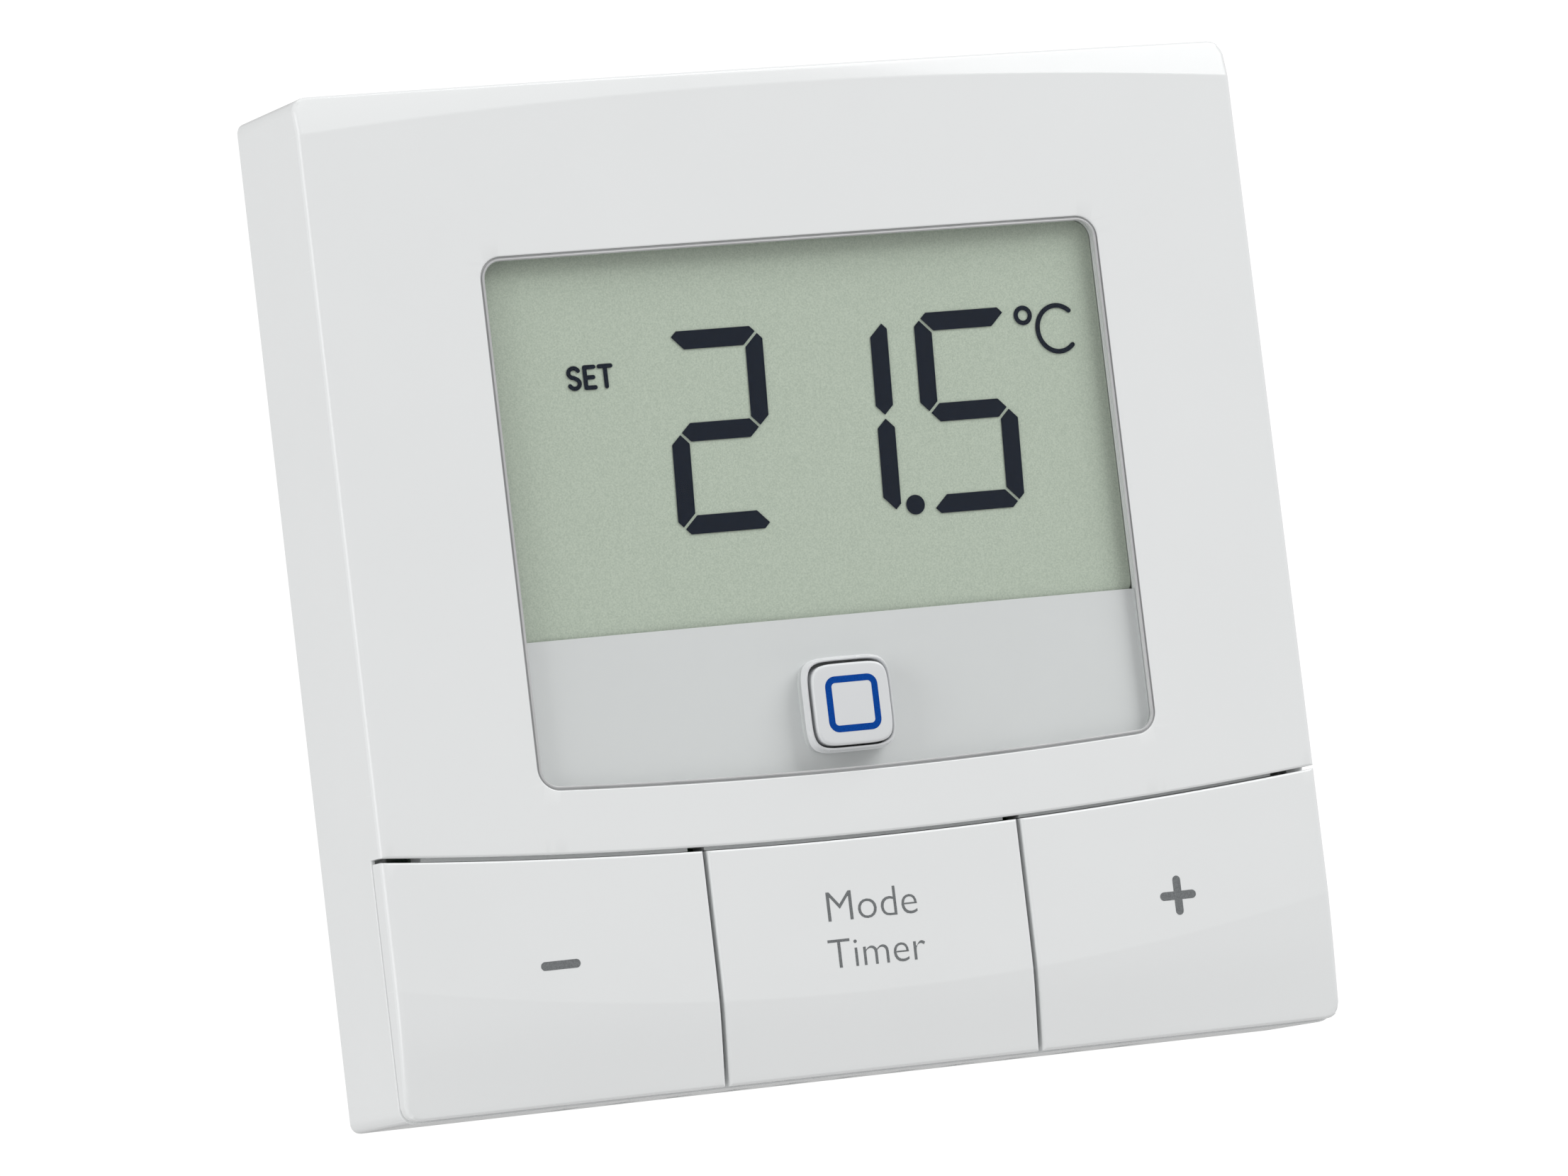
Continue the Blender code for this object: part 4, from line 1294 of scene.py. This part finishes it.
def soften(obj, width):
    """Rounds a CAD node's edges a little, as moulding and stamping do."""
    obj.modifiers.new("weld", "WELD").merge_threshold = 0.002 * MM
    flats = obj.modifiers.new("merge_flats", "DECIMATE")
    with_settings(flats, decimate_type="DISSOLVE", angle_limit=math.radians(0.5))
    bevel = obj.modifiers.new("soft_edges", "BEVEL")
    with_settings(bevel, width=width * MM, segments=2, limit_method="ANGLE", angle_limit=math.radians(35))
    even_normals(obj)
    obj.data.shade_smooth()


def dress(material, width, *nodes):
    """Gives CAD nodes their finish, and softened edges of that width."""
    for node in nodes:
        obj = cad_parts[node]
        paint(obj, material)
        if width:
            soften(obj, width)


def inner_pieces():
    """Finishes of the CAD nodes, with the width of each node's softened edges."""
    rear = moulded("rear_white", (0.78, 0.795, 0.795), 0.42, grain=0.012)
    back_plate = moulded("plate_white", (0.74, 0.75, 0.75), 0.5, grain=0.016)
    epoxy = moulded("chip_epoxy", (0.03, 0.03, 0.032), 0.5, grain=0.01, mottle=0.3)
    rubber = moulded("plunger_black", (0.05, 0.05, 0.05), 0.5, mottle=0.3)
    nickel = brushed("contact_nickel", (0.73, 0.71, 0.66), 0.28, (1.0, 1.0, 30.0))
    screws = brushed("screw_steel", (0.6, 0.6, 0.6), 0.3, (8.0, 1.0, 8.0))
    tin = brushed("tinned_steel", (0.62, 0.62, 0.61), 0.3)
    dress(rear, 0.15, "rear_housing")
    dress(back_plate, 0.2, "mounting_plate")
    dress(moulded("reflector_white", (0.85, 0.85, 0.82), 0.5), 0.0, "lcd_reflector")
    dress(board_laminate("board_green"), 0.0, "main_board")
    dress(moulded("ribbon_amber", (0.5, 0.26, 0.06), 0.3), 0.0, "lcd_ribbon")
    dress(moulded("socket_cream", (0.75, 0.72, 0.62), 0.45), 0.0, "ribbon_socket")
    dress(epoxy, 0.06, "microcontroller", "climate_sensor")
    dress(tin, 0.0, "radio_module", "crystal", "buffer_capacitor")
    for place in ("minus", "menu", "plus", "system"):
        dress(tin, 0.0, f"switch_{place}")
        dress(rubber, 0.0, f"plunger_{place}")
    dress(brushed("antenna_gold", (0.75, 0.6, 0.32), 0.28), 0.0, "antenna")
    dress(moulded("led_resin", (0.88, 0.88, 0.82), 0.2), 0.0, "status_led")
    dress(nickel, 0.08, "contact_plate_1", "contact_plate_2")
    dress(screws, 0.08, *[f"board_screw_{k + 1}" for k in range(4)])


# Stage

# Lights, in metres, watts and degrees: place, size, power and turn about the light's own axis
KEY_LIGHT = ((0.70, -0.55, 0.83), (0.78, 0.95), 9.7, -14)
LEFT_FILL = ((-1.1, -0.3, 0.3), (0.7, 0.9), 6.3, 0)
AMBIENT = 0.478
BACKDROP = 1.05
FLOOR_Z = -0.45
FLOOR_RADIUS = 3.0

# Camera, in degrees and millimetres
CAMERA_TURN = (-21.816, -4.252, -6.770)
CAMERA_PLACE = (1.474, -0.206, 629.794)
CAMERA_LENS = 180.0
CAMERA_SENSOR = 36.0


def softbox(name, place, size, power, roll):
    """A rectangular light that faces the object."""
    data = bpy.data.lights.new(name, "AREA")
    with_settings(data, shape="RECTANGLE", size=size[0], size_y=size[1], energy=power)
    lamp = with_settings(linked(name, data), location=place)
    lamp.rotation_euler = (-lamp.location).to_track_quat("-Z", "Y").to_euler()
    lamp.rotation_euler.rotate_axis("Z", math.radians(roll))


def studio():
    """White surroundings, a large softbox above to the right, and a pale floor well below the object."""
    softbox("key_light", *KEY_LIGHT)
    softbox("left_fill", *LEFT_FILL)
    world = bpy.data.worlds.new("studio")
    bpy.context.scene.world = world
    world.use_nodes = True
    tree = world.node_tree
    tree.nodes.remove(tree.nodes["Background"])
    sockets = {"Fac": add_node(tree, "ShaderNodeLightPath", {}).outputs["Is Camera Ray"]}
    for k, strength in ((1, AMBIENT), (2, BACKDROP)):
        light = {"Color": (1.0, 1.0, 1.0, 1.0), "Strength": strength}
        sockets[k] = add_node(tree, "ShaderNodeBackground", light).outputs["Background"]
    blend = add_node(tree, "ShaderNodeMixShader", sockets)
    tree.links.new(blend.outputs["Shader"], tree.nodes["World Output"].inputs["Surface"])

    data = bpy.data.meshes.new("floor")
    bm = bmesh.new()
    bmesh.ops.create_circle(bm, cap_ends=True, segments=96, radius=FLOOR_RADIUS)
    bmesh.ops.translate(bm, verts=bm.verts, vec=(0.0, 0.0, FLOOR_Z))
    bm.to_mesh(data)
    bm.free()
    floor = linked("floor", data)
    paint(floor, moulded("floor_paint", (0.72, 0.72, 0.72), 0.6))
    bpy.context.scene.view_settings.view_transform = "Standard"


def camera():
    """The photograph's long-lens view: from below and to the left, tilted to one side."""
    azimuth, elevation, roll = (math.radians(v) for v in CAMERA_TURN)
    flat = math.cos(elevation)
    back = Vector((math.sin(azimuth) * flat, -math.cos(azimuth) * flat, math.sin(elevation)))
    across = Vector((0.0, 0.0, 1.0)).cross(back).normalized()
    upright = back.cross(across)
    x_axis = math.cos(roll) * across + math.sin(roll) * upright
    y_axis = -math.sin(roll) * across + math.cos(roll) * upright
    turn = Matrix((x_axis, y_axis, back)).transposed()
    place = Vector((0.0, -COVER_BACK, 0.0)) + turn @ Vector(CAMERA_PLACE)
    data = bpy.data.cameras.new("camera")
    with_settings(data, sensor_fit="HORIZONTAL", sensor_width=CAMERA_SENSOR, lens=CAMERA_LENS)
    with_settings(data, clip_start=0.01, clip_end=20.0)
    eye = linked("camera", data)
    eye.matrix_world = Matrix.Translation(place * MM) @ turn.to_4x4()
    bpy.context.scene.camera = eye


def build():
    front_cover()
    key("minus", -HALF_SIDE, -KEY_EDGE_X - KEY_LINE_HALF)
    key("menu", -KEY_EDGE_X + KEY_LINE_HALF, KEY_EDGE_X - KEY_LINE_HALF)
    key("plus", KEY_EDGE_X + KEY_LINE_HALF, HALF_SIDE)
    window_pane()
    window_rim()
    button_collar()
    system_button()
    grey_film()
    display()
    key_marks()
    for number, sign in ((1, 1), (2, -1)):
        cell(number, sign)
        contact_spring(number, sign)
    inner_pieces()
    studio()
    camera()


build()
